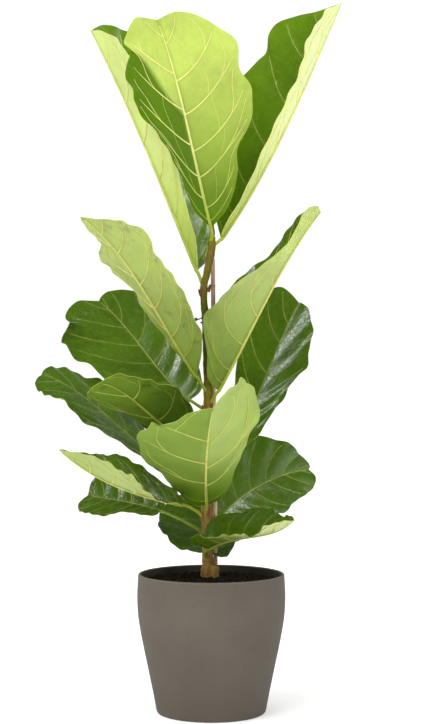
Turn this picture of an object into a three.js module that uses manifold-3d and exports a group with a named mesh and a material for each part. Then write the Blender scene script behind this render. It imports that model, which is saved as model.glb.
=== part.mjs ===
// A fiddle leaf fig on a short trunk, tied to a cane, in a tapered stone-grey pot of soil.
// Millimetres, +Z up, -Y to the front. The origin is the centre of the pot's flat underside.
import * as THREE from 'three';
import Module from 'manifold-3d';

const wasm = await Module();
wasm.setup();
const { Manifold, Mesh: SolidMesh } = wasm;

// Clearance left between pieces that touch in the real plant
const GAP = 0.3;

// Pot: half sections of the outer wall, from the foot to the rim, and of the inner wall, from the
// rim to the floor, as [radius, height]
const POT_OUTER = [
  [70, 0], [73.2, 1.4], [74.4, 5], [78.3, 26], [85, 58], [92, 91], [96, 112], [98.6, 129],
  [99.7, 144], [100, 158], [99.4, 172], [98.6, 185.4], [97.8, 186.4],
];
const POT_INNER = [
  [95, 186.4], [94.4, 185.4], [96, 158], [94.6, 129], [88, 91], [81, 58], [72.4, 14], [69, 8],
];
const POT_SIDES = 56;

// Soil: it fills the pot to a little under the rim and rises to the trunk
const SOIL_EDGE_Z = 174;
const SOIL_TOP_Z = 182;
const SOIL_SIDES = 40;

// Trunk: [x, y, z, radius] from below the soil up to the growing tip
const STEM = [
  [-4, 0, 120, 7], [-4, 0, 176, 8.5], [-5, 0, 205, 7.8], [-6, 0, 262, 7.6], [-6, 0, 300, 6.9],
  [-5, 0, 350, 6.6], [-4, 0, 413, 6.6], [-6, 0, 460, 5], [-8, 0, 520, 4.6], [-10, 0, 570, 5.2],
  [-6, 0, 592, 5], [0, 0, 622, 5.4], [1, 0, 641, 4.6],
];
const STEM_SIDES = 10;
const STEM_STEPS = 24;

// Old wood that the trunk stands in, just over the soil
const STUMP = { x: -1.7, y: 0.5, bottom: 176, top: 199, radius: 12.4, sides: 12 };

// Cane behind the trunk
const CANE = { foot: [7, 12, 60], head: [2, 11, 612], radius: 3.1, sides: 12 };

// Wire tie round trunk and cane, with one loose end; [x, y, z]
const TIE = [
  [-36, -9, 519], [-27, -10.5, 524], [-19, -9, 528.5], [-12.5, -7, 531], [-8.3, -6.1, 531.4],
  [-4.1, -4.2, 531], [5.9, 8, 529.8], [7.2, 11.1, 529], [5.9, 14.2, 528.3], [2.8, 15.5, 527.7],
  [-0.3, 14.2, 527.1], [-12.4, 4.2, 525.6], [-14.2, 0, 525], [-12.4, -4.2, 524.3],
  [-8.3, -6, 523.3], [-5.2, -5.4, 522], [-2.6, -6.4, 520],
];
const TIE_RADIUS = 0.8;

// Bud at the growing tip: half section as [radius, height], and where it stands on the trunk
const BUD = [[0, 0], [2.3, 0.2], [2.9, 3], [2.7, 7], [1.9, 11], [0.8, 15], [0, 17]];
const BUD_PLACE = [1.8, 1.4, 641.4];

// Leaves
const BLADE_HALF_THICKNESS = 0.4;
const BLADE_ROWS = 18;
const BLADE_COLUMNS = 3;
const RIB_SIDES = 5;
const PETIOLE_RADIUS = 2.5;
const RIB_END_RADIUS = 0.8;

// Half outline of a plain leaf, as [share of half width, share of length]
const PLAIN_OUTLINE = [
  [0, 0], [0.26, 0], [0.45, 0.12], [0.53, 0.29], [0.69, 0.46], [0.89, 0.61], [1, 0.75], [1, 0.87],
  [0.86, 0.97], [0.5, 1.04], [0, 1],
];

// Each leaf: where its stalk leaves the trunk, four points along its midrib from base to tip, the
// way its upper face looks at base and tip, the outline of its left and right half seen from the
// upper face (one number scales the plain outline; a list holds [half width, share of length]), and
// how far each half folds up from flat, in degrees from base to tip.
const LEAVES = [
  {
    name: 'leaf_crown_front', age: 'young', node: [0, -2, 636],
    midrib: [[0, -10, 652], [-22, -40, 743], [-43, -70, 830], [-70, -90, 915]],
    face: [[0.1, 1, 0.3], [0.25, 1, 0.3]],
    left: [[0, 0], [32, 0.08], [48, 0.2], [60, 0.33], [82, 0.45], [95, 0.57], [84, 0.66], [89, 0.75],
      [82, 0.84], [62, 0.92], [30, 1], [0, 1]],
    right: [[0, 0], [27, 0.08], [43, 0.2], [55, 0.32], [69, 0.44], [82, 0.57], [87, 0.68], [78, 0.8],
      [58, 0.9], [54, 0.98], [32, 1.05], [0, 1]],
    foldLeft: [15, 5], foldRight: [48, 45, 30, 15], wave: 3, seed: 1,
  },
  {
    name: 'leaf_crown_left', age: 'young', node: [-10, 0, 570],
    midrib: [[-19, 5, 595], [-65, 31, 707], [-113, 46, 818], [-167, 54, 930]],
    face: [[0.9, 0, 0.4], [0.9, 0, 0.4]],
    left: [[0, 0], [16, 0.06], [24, 0.17], [30, 0.31], [39, 0.44], [49, 0.56], [55, 0.66], [54, 0.76],
      [49, 0.84], [38, 0.91], [20, 0.97], [0, 1]],
    right: [[0, 0], [30, 0.05], [54, 0.15], [72, 0.29], [82, 0.44], [86, 0.57], [88, 0.69], [86, 0.8],
      [80, 0.9], [60, 0.97], [30, 1.01], [0, 1]],
    foldLeft: [40, 50, 48, 40], foldRight: [46, 46], wave: 4, seed: 2,
  },
  {
    name: 'leaf_crown_right', age: 'young', node: [2, 1, 630],
    midrib: [[13, 2, 638], [76, 10, 741], [129, 15, 850], [178, 20, 961]],
    face: [[-0.89, 0, 0.45], [-0.89, 0, 0.45]],
    left: [[0, 0], [30, 0.08], [52, 0.2], [70, 0.32], [87, 0.44], [94, 0.55], [82, 0.64], [72, 0.71],
      [76, 0.79], [62, 0.87], [30, 0.93], [0, 1]],
    right: [[0, 0], [14, 0.04], [25, 0.16], [34, 0.3], [43, 0.43], [52, 0.56], [58, 0.66],
      [58, 0.76], [54, 0.84], [44, 0.92], [22, 0.96], [0, 1]],
    foldLeft: [72, 78], foldRight: [20, 17, 17, 22], wave: 3, seed: 3,
  },
  {
    name: 'leaf_upper_left', age: 'middle', node: [-5, -1, 428],
    midrib: [[-20, -10, 453], [-67, -30, 530], [-114, -55, 604], [-171, -75, 661]],
    face: [[0.81, 0, 0.58], [0.81, 0, 0.58]],
    left: [[0, 0], [26, 0.08], [43, 0.18], [50, 0.29], [56, 0.4], [60, 0.49], [50, 0.57], [54, 0.65],
      [63, 0.74], [56, 0.82], [34, 0.87], [16, 0.93], [0, 1]],
    right: [[0, 0], [16, 0.08], [28, 0.2], [38, 0.32], [48, 0.44], [60, 0.54], [74, 0.62], [76, 0.71],
      [48, 0.78], [34, 0.85], [18, 0.95], [0, 1]],
    foldLeft: [52, 44], foldRight: [-15, -18], wave: 3, seed: 5,
  },
  {
    name: 'leaf_middle_left', age: 'old', node: [-4, 2, 404],
    midrib: [[-29, 15, 420], [-73, 75, 461], [-116, 130, 513], [-163, 160, 560]],
    face: [[-0.1, -0.7, 0.7], [-0.1, -0.7, 0.7]],
    left: [[0, 0], [32, 0.04], [56, 0.15], [72, 0.3], [86, 0.45], [97, 0.58], [100, 0.72], [93, 0.85],
      [80, 0.97], [60, 1.08], [26, 1.1], [0, 1]],
    right: [[0, 0], [22, 0], [40, 0.12], [48, 0.28], [58, 0.43], [66, 0.56], [66, 0.68], [58, 0.79],
      [46, 0.89], [28, 0.98], [12, 1.01], [0, 1]],
    foldLeft: [14, 14], foldRight: [15, 10], wave: 3, seed: 6,
  },
  {
    name: 'leaf_outer_left', age: 'old', node: [-6, 1, 300],
    midrib: [[-48, 20, 323], [-105, 15, 366], [-170, 10, 422], [-230, 5, 454]],
    face: [[0.6, 0, 0.8], [0.6, 0, 0.8]],
    left: 74,
    right: [[0, 0], [26, 0.02], [44, 0.14], [56, 0.28], [68, 0.42], [74, 0.55], [74, 0.66],
      [68, 0.76], [58, 0.86], [38, 0.94], [14, 0.99], [0, 1]],
    foldLeft: [-18, -14], foldRight: [20, 18], wave: 4, seed: 7,
  },
  {
    name: 'leaf_small_front', age: 'middle', node: [-5, -2, 350],
    midrib: [[-29, -20, 367], [-66, -75, 392], [-103, -128, 427], [-141, -162, 445]],
    face: [[-0.1, 0.45, 0.9], [-0.1, 0.45, 0.9]],
    left: [[0, 0], [22, 0], [38, 0.12], [46, 0.28], [54, 0.42], [56, 0.55], [50, 0.67], [42, 0.78],
      [32, 0.88], [18, 0.96], [0, 1]],
    right: 48,
    foldLeft: [8, 0], foldRight: [12, 4], wave: 4, seed: 8,
  },
  {
    name: 'leaf_upper_right', age: 'middle', node: [-3, -1, 414],
    midrib: [[9, -10, 433], [53, -15, 516], [98, -10, 600], [148, 0, 674]],
    face: [[-0.87, 0, 0.5], [-0.87, 0, 0.5]],
    left: [[0, 0], [30, 0.02], [46, 0.12], [58, 0.24], [66, 0.36], [67, 0.48], [58, 0.59],
      [44, 0.69], [37, 0.79], [38, 0.88], [42, 0.97], [24, 1.03], [0, 1]],
    right: [[0, 0], [20, 0.03], [34, 0.11], [52, 0.2], [65, 0.3], [60, 0.4], [49, 0.5], [36, 0.6],
      [22, 0.69], [17, 0.77], [20, 0.86], [25, 0.94], [14, 1], [0, 1]],
    foldLeft: [22, 50, 40, 30], foldRight: [75, 70, 50, 45], wave: 3, seed: 9,
  },
  {
    name: 'leaf_big_front', age: 'middle', node: [-6, -2, 262],
    midrib: [[-6, -12, 280], [-7, -85, 329], [-4, -165, 374], [2, -235, 416]],
    face: [[0, 0.5, 0.85], [0, 0.5, 0.85]],
    left: [[0, 0], [14, 0.03], [25, 0.1], [36, 0.2], [44, 0.34], [52, 0.45], [62, 0.56], [74, 0.64],
      [80, 0.7], [78, 0.8], [70, 0.89], [60, 1], [46, 0.99], [28, 1.03], [14, 1], [0, 1]],
    right: [[0, 0], [20, -0.02], [34, 0.04], [43, 0.13], [54, 0.25], [70, 0.36], [86, 0.46],
      [87, 0.62], [84, 0.78], [72, 0.86], [56, 0.82], [36, 0.9], [16, 0.98], [0, 1]],
    foldLeft: [5, 15, 33, 54], foldRight: [10, -5], wave: 3, seed: 10,
  },
  {
    name: 'leaf_middle_right', age: 'old', node: [-3, 2, 322],
    midrib: [[23, 25, 345], [60, 60, 414], [91, 90, 486], [124, 110, 556]],
    face: [[-0.4, -0.7, 0.5], [-0.4, -0.7, 0.5]],
    left: 58,
    right: [[0, 0], [16, 0.04], [28, 0.16], [37, 0.28], [46, 0.4], [54, 0.52], [56, 0.64],
      [53, 0.76], [42, 0.88], [24, 0.97], [8, 1], [0, 1]],
    foldLeft: [28, 28], foldRight: [6, 6], wave: 4, seed: 11,
  },
  {
    name: 'leaf_lower_right', age: 'old', node: [-5, 2, 250],
    midrib: [[15, 15, 263], [50, 70, 289], [94, 120, 308], [141, 160, 316]],
    face: [[0, -1, 0], [0, -1, 0]],
    left: [[0, 0], [24, -0.02], [40, 0.1], [52, 0.24], [62, 0.38], [68, 0.52], [62, 0.62],
      [50, 0.75], [37, 0.84], [22, 0.92], [8, 1], [0, 1]],
    right: [[0, 0], [22, 0.05], [30, 0.2], [33, 0.3], [38, 0.42], [48, 0.56], [46, 0.68],
      [38, 0.8], [35, 0.96], [24, 1.04], [10, 1.06], [0, 1]],
    foldLeft: [8, 8], foldRight: [6, 6], wave: 4, seed: 12,
  },
  {
    name: 'leaf_lower_left', age: 'middle', node: [-6, -1, 258],
    midrib: [[-39, -20, 281], [-97, -55, 299], [-150, -85, 324], [-196, -105, 359]],
    face: [[0.43, 0, 0.9], [0.5, 0, 0.9]],
    left: [[0, 0], [24, 0.06], [40, 0.2], [46, 0.32], [50, 0.42], [56, 0.52], [60, 0.61], [58, 0.7],
      [46, 0.8], [28, 0.9], [12, 0.96], [0, 1]],
    right: [[0, 0], [26, 0.02], [44, 0.14], [54, 0.28], [58, 0.4], [56, 0.52], [46, 0.62],
      [34, 0.72], [24, 0.82], [14, 0.9], [6, 0.97], [0, 1]],
    foldLeft: [5, 12, 28, 30], foldRight: [30, 38], wave: 3, seed: 14,
  },
  {
    name: 'leaf_under_left', age: 'old', node: [-6, 1, 238],
    midrib: [[-69, 14, 270], [-103, 34, 277], [-139, 53, 282], [-172, 68, 286]],
    face: [[-0.1, -0.6, 0.8], [-0.1, -0.6, 0.8]],
    left: 40, right: 46,
    foldLeft: [6, 6], foldRight: [8, 8], wave: 4, seed: 15,
  },
  {
    name: 'leaf_bottom_right', age: 'old', node: [-4, -2, 208],
    midrib: [[-3, -24, 222], [36, -48, 239], [74, -68, 247], [108, -84, 266]],
    face: [[0, 0, 1], [0, 0, 1]],
    left: [[0, 0], [24, -0.08], [35, 0.02], [42, 0.16], [46, 0.32], [50, 0.48], [48, 0.62],
      [40, 0.75], [30, 0.87], [16, 0.97], [0, 1]],
    right: [[0, 0], [28, -0.02], [40, 0.08], [44, 0.22], [48, 0.38], [50, 0.52], [50, 0.64],
      [46, 0.76], [38, 0.88], [22, 0.97], [0, 1]],
    foldLeft: [66, 50, 36, 28], foldRight: [30, 8, 6, 12], wave: 4, seed: 13,
  },
  {
    name: 'leaf_bottom_back', age: 'old', node: [-5, 3, 203],
    midrib: [[-7, 17, 214], [-12, 80, 234], [-14, 140, 257], [-12, 190, 281]],
    face: [[0, -0.5, 0.85], [0, -0.4, 0.9]],
    left: [[0, 0], [12, -0.03], [28, 0.04], [44, 0.13], [56, 0.26], [62, 0.42], [60, 0.57],
      [52, 0.72], [36, 0.88], [16, 0.97], [0, 1]],
    right: [[0, 0], [16, -0.12], [28, -0.1], [38, 0], [50, 0.14], [58, 0.28], [61, 0.42],
      [57, 0.57], [48, 0.72], [32, 0.88], [14, 0.97], [0, 1]],
    foldLeft: [5, 5], foldRight: [5, 5], wave: 4, seed: 17,
  },
];

// Colours
const COLOURS = { young: 0x8fb63c, middle: 0x6f9a3a, old: 0x35601f };
const POT_COLOUR = 0x6f675d;
const SOIL_COLOUR = 0x241a14;
const STEM_COLOUR = 0x6f6a34;
const CANE_COLOUR = 0xc9a67c;
const TIE_COLOUR = 0x22241f;
const BUD_COLOUR = 0x8a4a2a;

// Small helpers
function vector(list) {
  return new THREE.Vector3(list[0], list[1], list[2]);
}

// A smooth curve through a list of lists, at a share t of its steps
function through(list, t) {
  const last = list.length - 1;
  const place = Math.min(Math.max(t, 0), 1) * last;
  const i = Math.min(Math.floor(place), last - 1);
  const r = place - i;
  const before = list[Math.max(i - 1, 0)];
  const after = list[Math.min(i + 2, last)];
  return list[i].map((p1, k) => {
    const p2 = list[i + 1][k];
    const leave = (p2 - before[k]) / 2;
    const arrive = (after[k] - p1) / 2;
    return (2 * p1 - 2 * p2 + leave + arrive) * r ** 3
      + (-3 * p1 + 3 * p2 - 2 * leave - arrive) * r ** 2 + leave * r + p1;
  });
}

function angleAt(list, t) {
  const share = Math.min(Math.max(t, 0), 1);
  if (list.length === 2) return list[0] + (list[1] - list[0]) * share;
  return through(list.map((v) => [v]), share)[0];
}

// Weights of the four midrib points at a share t, and how fast they change
function midribWeights(t) {
  return [
    -4.5 * (t - 1 / 3) * (t - 2 / 3) * (t - 1),
    13.5 * t * (t - 2 / 3) * (t - 1),
    -13.5 * t * (t - 1 / 3) * (t - 1),
    4.5 * t * (t - 1 / 3) * (t - 2 / 3),
  ];
}

// Place and directions on a leaf's midrib; past either end it runs on straight
function spineAt(leaf, s) {
  const share = Math.min(Math.max(s, 0), 1);
  const points = leaf.midrib.map(vector);
  const mix = (weights) => points.reduce(
    (sum, p, k) => sum.addScaledVector(p, weights[k]), new THREE.Vector3());
  const step = 1e-4;
  const ahead = mix(midribWeights(share + step));
  const slope = ahead.sub(mix(midribWeights(share - step))).divideScalar(2 * step);
  const place = mix(midribWeights(share)).addScaledVector(slope, s - share);
  const along = slope.clone().normalize();
  const [from, to] = leaf.face.map((f) => vector(f).normalize());
  const up = from.lerp(to, share);
  up.addScaledVector(along, -up.dot(along)).normalize();
  return { place, along, up, across: along.clone().cross(up) };
}

function outlineAt(leaf, side, w) {
  const shape = side < 0 ? leaf.left : leaf.right;
  const list = Array.isArray(shape) ? shape : PLAIN_OUTLINE.map(([x, y]) => [x * shape, y]);
  return through(list, w);
}

// A point of the leaf's middle surface: v from -1 (left margin) over 0 (midrib) to 1, and w from
// the base to the tip along the side veins
function bladePoint(leaf, v, w, side = v < 0 ? -1 : 1) {
  const u = Math.abs(v);
  const [halfWidth, reach] = outlineAt(leaf, side, w);
  const start = w * (0.7 + 0.3 * w);
  const s = start + (reach - start) * u ** 1.35;
  const scallop = 1 + 0.015 * u * Math.sin(12 * Math.PI * w + 1.7 * leaf.seed + side);
  const r = halfWidth * u * scallop;
  const { place, up, across } = spineAt(leaf, s);
  const fold = angleAt(side < 0 ? leaf.foldLeft : leaf.foldRight, s) * Math.PI / 180;
  const swell = Math.sin(5.8 * Math.PI * w + 2.3 * leaf.seed + side)
    + 0.5 * Math.sin(11.2 * Math.PI * w + 4.1 * leaf.seed - 2 * side);
  const lift = leaf.wave * u * u * Math.min(halfWidth / 60, 1) * swell;
  const outward = across.clone().multiplyScalar(side);
  return place
    .addScaledVector(outward, r * Math.cos(fold) - lift * Math.sin(fold))
    .addScaledVector(up, r * Math.sin(fold) + lift * Math.cos(fold));
}

// The upper side's direction at a point of the blade
function bladeNormal(leaf, v, w) {
  const d = 0.02;
  const [halfWidth] = outlineAt(leaf, v < 0 ? -1 : 1, w);
  if (halfWidth < 1) return spineAt(leaf, w).up;
  const sides = v === 0 ? [-1, 1] : [Math.sign(v)];
  const normal = new THREE.Vector3();
  for (const side of sides) {
    const inner = Math.max(Math.abs(v) - d, 0);
    const outer = Math.min(Math.abs(v) + d, 1);
    const out = bladePoint(leaf, side * outer, w, side).sub(bladePoint(leaf, side * inner, w, side));
    const ahead = bladePoint(leaf, v, Math.min(w + d, 1), side)
      .sub(bladePoint(leaf, v, Math.max(w - d, 0), side));
    normal.add(out.cross(ahead).multiplyScalar(side).normalize());
  }
  return normal.normalize();
}

// Solids
function solidFrom(points, triangles) {
  const positions = new Float32Array(points.flatMap((p) => [p.x, p.y, p.z]));
  const solid = new Manifold(new SolidMesh({
    numProp: 3, vertProperties: positions, triVerts: new Uint32Array(triangles.flat()),
  }));
  return solid;
}

function geometryFrom(solid) {
  const mesh = solid.getMesh();
  const geometry = new THREE.BufferGeometry();
  geometry.setAttribute('position', new THREE.BufferAttribute(mesh.vertProperties, 3));
  geometry.setIndex(new THREE.BufferAttribute(mesh.triVerts, 1));
  geometry.computeVertexNormals();
  return geometry;
}

// A round rod with flat ends through a list of points, with one radius for each
function rod(points, radii, sides) {
  const ring = (i) => {
    const before = points[Math.max(i - 1, 0)];
    const after = points[Math.min(i + 1, points.length - 1)];
    return after.clone().sub(before).normalize();
  };
  let side = new THREE.Vector3(0.31, 0.93, 0.19);
  const vertices = [];
  points.forEach((point, i) => {
    const along = ring(i);
    side = side.clone().addScaledVector(along, -side.dot(along)).normalize();
    const other = along.clone().cross(side);
    for (let k = 0; k < sides; k += 1) {
      const angle = 2 * Math.PI * k / sides;
      vertices.push(point.clone()
        .addScaledVector(side, radii[i] * Math.cos(angle))
        .addScaledVector(other, radii[i] * Math.sin(angle)));
    }
  });
  const triangles = [];
  for (let i = 0; i < points.length - 1; i += 1) {
    for (let k = 0; k < sides; k += 1) {
      const a = i * sides + k;
      const b = i * sides + (k + 1) % sides;
      triangles.push([a, b, b + sides], [a, b + sides, a + sides]);
    }
  }
  const end = (points.length - 1) * sides;
  for (let k = 1; k < sides - 1; k += 1) {
    triangles.push([0, k + 1, k], [end, end + k, end + k + 1]);
  }
  return solidFrom(vertices, triangles);
}

// A turned solid from a half section that starts and ends on the axis
function turned(section, sides) {
  const vertices = [];
  const rows = section.map(([radius, height]) => {
    const count = radius > 0 ? sides : 1;
    const first = vertices.length;
    for (let k = 0; k < count; k += 1) {
      const angle = 2 * Math.PI * k / sides;
      vertices.push(new THREE.Vector3(radius * Math.cos(angle), radius * Math.sin(angle), height));
    }
    return { first, count };
  });
  const at = (row, k) => row.first + (row.count > 1 ? k % sides : 0);
  const triangles = [];
  for (let i = 0; i < rows.length - 1; i += 1) {
    for (let k = 0; k < sides; k += 1) {
      const [a, b] = [at(rows[i], k), at(rows[i], k + 1)];
      const [c, d] = [at(rows[i + 1], k), at(rows[i + 1], k + 1)];
      if (a !== b) triangles.push([a, b, d]);
      if (c !== d) triangles.push([a, d, c]);
    }
  }
  return solidFrom(vertices, triangles);
}

// Pot and soil
function potSolid() {
  const floor = POT_INNER[POT_INNER.length - 1][1];
  return turned([[0, 0], ...POT_OUTER, ...POT_INNER, [0, floor]], POT_SIDES);
}

function soilSolid(trunk, cane) {
  const wall = POT_INNER.filter(([, z]) => z < SOIL_EDGE_Z)
    .map(([radius, z]) => [radius - 2 * GAP, z + GAP]).reverse();
  const section = [
    [0, wall[0][1]], ...wall, [94, SOIL_EDGE_Z], [84, SOIL_EDGE_Z + 1], [45, SOIL_EDGE_Z + 4],
    [0, SOIL_TOP_Z],
  ];
  return turned(section, SOIL_SIDES).subtract(trunk).subtract(cane);
}

// Trunk, with the stump it stands in; grow is the clearance asked for round it
function trunkSolid(grow, cane) {
  const points = [];
  const radii = [];
  for (let i = 0; i <= STEM_STEPS; i += 1) {
    const [x, y, z, radius] = through(STEM, i / STEM_STEPS);
    points.push(new THREE.Vector3(x, y, z));
    radii.push(radius + grow);
  }
  const { x, y, bottom, top, radius, sides } = STUMP;
  const heights = [bottom - grow, bottom + 4, (bottom + top) / 2 + 3, top - 3, top + grow];
  const shares = [0.82, 0.98, 1, 0.97, 0.8];
  const stump = rod(heights.map((z) => new THREE.Vector3(x, y, z)),
    shares.map((share) => radius * share + grow), sides);
  return rod(points, radii, STEM_SIDES).add(stump).subtract(cane);
}

function caneSolid(grow) {
  const ends = [vector(CANE.foot), vector(CANE.head)];
  const along = ends[1].clone().sub(ends[0]).normalize();
  ends[0].addScaledVector(along, -grow);
  ends[1].addScaledVector(along, grow);
  return rod(ends, [CANE.radius + grow, CANE.radius + grow], CANE.sides);
}

function tieSolid() {
  const curve = new THREE.CatmullRomCurve3(TIE.map(vector));
  const points = curve.getSpacedPoints(32);
  return rod(points, points.map(() => TIE_RADIUS), 6);
}

function budSolid() {
  return turned(BUD, 12).translate(BUD_PLACE);
}

// Leaf blade: two matching skins a little apart, closed round the margin
function bladeSolid(leaf) {
  const skins = [1, -1].map((skin) => skin * BLADE_HALF_THICKNESS);
  const vertices = [];
  const ids = new Map();
  const idOf = (skin, column, row) => {
    const pole = row === 0 || row === BLADE_ROWS;
    const key = `${skin} ${pole ? 0 : column} ${row}`;
    if (!ids.has(key)) {
      const v = pole ? 0 : column / BLADE_COLUMNS;
      const w = row / BLADE_ROWS;
      const point = bladePoint(leaf, v, w).addScaledVector(bladeNormal(leaf, v, w), skins[skin]);
      ids.set(key, vertices.push(point) - 1);
    }
    return ids.get(key);
  };
  const triangles = [];
  const quad = (a, b, c, d) => {
    if (a !== b && b !== c && a !== c) triangles.push([a, b, c]);
    if (a !== c && c !== d && a !== d) triangles.push([a, c, d]);
  };
  for (let row = 0; row < BLADE_ROWS; row += 1) {
    for (let column = -BLADE_COLUMNS; column < BLADE_COLUMNS; column += 1) {
      const upper = [idOf(0, column, row), idOf(0, column + 1, row),
        idOf(0, column + 1, row + 1), idOf(0, column, row + 1)];
      const lower = [idOf(1, column, row), idOf(1, column, row + 1),
        idOf(1, column + 1, row + 1), idOf(1, column + 1, row)];
      quad(...upper);
      quad(lower[0], lower[1], lower[2], lower[3]);
    }
    const last = BLADE_COLUMNS;
    quad(idOf(0, last, row), idOf(1, last, row), idOf(1, last, row + 1), idOf(0, last, row + 1));
    quad(idOf(0, -last, row + 1), idOf(1, -last, row + 1), idOf(1, -last, row), idOf(0, -last, row));
  }
  return solidFrom(vertices, triangles);
}

// Stalk and midrib in one rod: out of the trunk, then along under the blade
function ribSolid(leaf) {
  const node = vector(leaf.node);
  const base = spineAt(leaf, 0);
  const reach = base.place.distanceTo(node);
  const bend = base.place.clone().addScaledVector(base.along, -0.45 * reach);
  const points = [];
  const radii = [];
  const stalkSteps = 3;
  for (let i = 0; i < stalkSteps; i += 1) {
    const t = i / stalkSteps;
    points.push(node.clone().multiplyScalar((1 - t) ** 2)
      .addScaledVector(bend, 2 * t * (1 - t)).addScaledVector(base.place, t * t));
    radii.push(PETIOLE_RADIUS);
  }
  const ribSteps = 5;
  for (let i = 0; i <= ribSteps; i += 1) {
    const s = 0.9 * i / ribSteps;
    const { place, up } = spineAt(leaf, s);
    const radius = PETIOLE_RADIUS + (RIB_END_RADIUS - PETIOLE_RADIUS) * s;
    points.push(place.addScaledVector(up, -0.45 * radius));
    radii.push(radius);
  }
  return rod(points, radii, RIB_SIDES);
}

function leafSolid(leaf, trunk, cane) {
  return bladeSolid(leaf).add(ribSolid(leaf)).subtract(trunk).subtract(cane);
}

// The whole plant
function piece(name, solid, colour, roughness) {
  const material = new THREE.MeshStandardMaterial({ color: colour, roughness });
  material.name = name;
  const mesh = new THREE.Mesh(geometryFrom(solid), material);
  mesh.name = name;
  return mesh;
}

const caneSpace = caneSolid(GAP);
const noSpace = caneSolid(-CANE.radius + 0.01);
const trunk = trunkSolid(0, caneSpace);
const trunkSpace = trunkSolid(GAP, noSpace);
const group = new THREE.Group();
group.name = 'potted_fiddle_leaf_fig';
group.add(piece('pot', potSolid(), POT_COLOUR, 0.85));
group.add(piece('soil', soilSolid(trunkSpace, caneSpace), SOIL_COLOUR, 1));
group.add(piece('trunk', trunk, STEM_COLOUR, 0.8));
group.add(piece('cane', caneSolid(0), CANE_COLOUR, 0.7));
group.add(piece('plant_tie', tieSolid(), TIE_COLOUR, 0.6));
group.add(piece('crown_bud', budSolid(), BUD_COLOUR, 0.6));
for (const leaf of LEAVES) {
  group.add(piece(leaf.name, leafSolid(leaf, trunkSpace, caneSpace), COLOURS[leaf.age], 0.4));
}

export default group;
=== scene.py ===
"""Blender add-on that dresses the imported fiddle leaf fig: leaves, trunk, cane, pot, soil and stage."""
import math

import bpy
import numpy as np
from mathutils import Euler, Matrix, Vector, noise


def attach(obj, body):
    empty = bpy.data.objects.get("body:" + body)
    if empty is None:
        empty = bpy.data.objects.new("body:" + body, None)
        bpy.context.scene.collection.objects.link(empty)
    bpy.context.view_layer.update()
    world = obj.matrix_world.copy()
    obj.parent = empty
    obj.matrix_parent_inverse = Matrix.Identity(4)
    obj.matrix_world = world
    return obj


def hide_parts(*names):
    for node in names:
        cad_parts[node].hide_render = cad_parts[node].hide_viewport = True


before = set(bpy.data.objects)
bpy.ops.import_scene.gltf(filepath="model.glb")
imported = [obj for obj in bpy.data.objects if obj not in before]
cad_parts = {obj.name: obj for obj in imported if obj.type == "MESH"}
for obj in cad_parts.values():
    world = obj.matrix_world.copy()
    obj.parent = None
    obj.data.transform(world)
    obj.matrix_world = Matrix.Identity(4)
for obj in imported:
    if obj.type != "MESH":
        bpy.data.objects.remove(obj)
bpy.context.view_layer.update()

bl_info = {
    "name": "Potted Fiddle Leaf Fig",
    "version": (1, 0, 0),
    "blender": (4, 5, 0),
    "location": "View3D > Sidebar > Fig",
    "description": "Builds a potted fiddle leaf fig round its packed solids",
    "category": "Object",
}

MM = 0.001

# Pot, in mm: half sections of its foot, outer wall, lip, inner wall and well, as (radius, height), and
# the height of its floor
POT_FOOT = [(0, 0), (70, 0), (72.2, 0.5), (73.4, 1.8)]
POT_OUTER = [
    (74.4, 5), (78.3, 26), (81.7, 42), (85, 58), (88.7, 75), (92, 91), (96, 112), (98.6, 129),
    (99.7, 144), (100, 158), (99.4, 172), (98.7, 184.4),
]
POT_LIP = [(98.3, 185.8), (97.4, 186.4), (95.8, 186.4), (94.8, 185.8)]
POT_INNER = [(94.4, 184.8), (96, 158), (94.6, 129), (91.4, 110), (88, 91), (84.4, 74), (81, 58)]
POT_WELL = [(72.4, 14), (69, 8)]
POT_FLOOR = 8

# Soil: half sections of its wall and of its top, as (radius, height) in mm
SOIL_WALL = [
    (68.4, 8.3), (71.8, 14.3), (80.4, 58.3), (87.4, 91.3), (94, 129.3), (94.9, 150), (94.6, 173),
]
SOIL_TOP = [(0, 182), (18, 180.4), (45, 178), (84, 175), (94.4, 174)]

# Loose grains: the seed of their draw, and in mm how far they lie from the pot's axis, how much room
# they leave round the stump, and their least and most size
GRAIN_SEED = 11
GRAIN_REACH = 92.5
STUMP_ROOM = 13
GRAIN_SIZES = (0.9, 2.6)

# Trunk, in mm: (x, y, z, radius) from the soil up, the heights of its leaf scars, how wide and by what
# share a scar swells, how wide its dark line is, and the stump as (height, radius)
TRUNK = [
    (-4, 0, 172, 8.5), (-5, 0, 205, 7.8), (-6, 0, 262, 7.6), (-6, 0, 300, 6.9), (-5, 0, 350, 6.6),
    (-4, 0, 413, 6.6), (-6, 0, 460, 5), (-8, 0, 520, 4.6), (-10, 0, 570, 5.2), (-6, 0, 592, 5),
    (0, 0, 622, 5.4), (1, 0, 641, 4.6),
]
SCARS = [204, 228, 248, 262, 284, 303, 326, 350, 377, 404, 416, 430, 470, 508, 543, 571, 596, 616, 632]
SCAR_WIDTH = 3.5
SCAR_SWELL = 0.1
SCAR_LINE = 1.1
STUMP = [(176, 10.2), (180, 12.1), (187, 12.4), (193, 12.3), (197, 10.4), (199, 6.5)]
STUMP_PLACE = (-1.7, 0.5)

# Brown leaf scales that stay at the nodes: (x, y, z, lean in degrees, length) in mm
SCALES = [
    (-8, -6.2, 399, 14, 16), (-1.5, -6.8, 402, -12, 14), (2, -4.5, 396, -26, 13),
    (-9.5, -6.8, 256, 16, 15), (-4, -7.8, 262, -6, 17), (0.5, -6.5, 255, -20, 13),
    (-13, -2.5, 560, 22, 11), (-4, -4.8, 566, -14, 11),
]
SCALE_HALF_WIDTH = 2.6
SCALE_THICKNESS = 0.5

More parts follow.
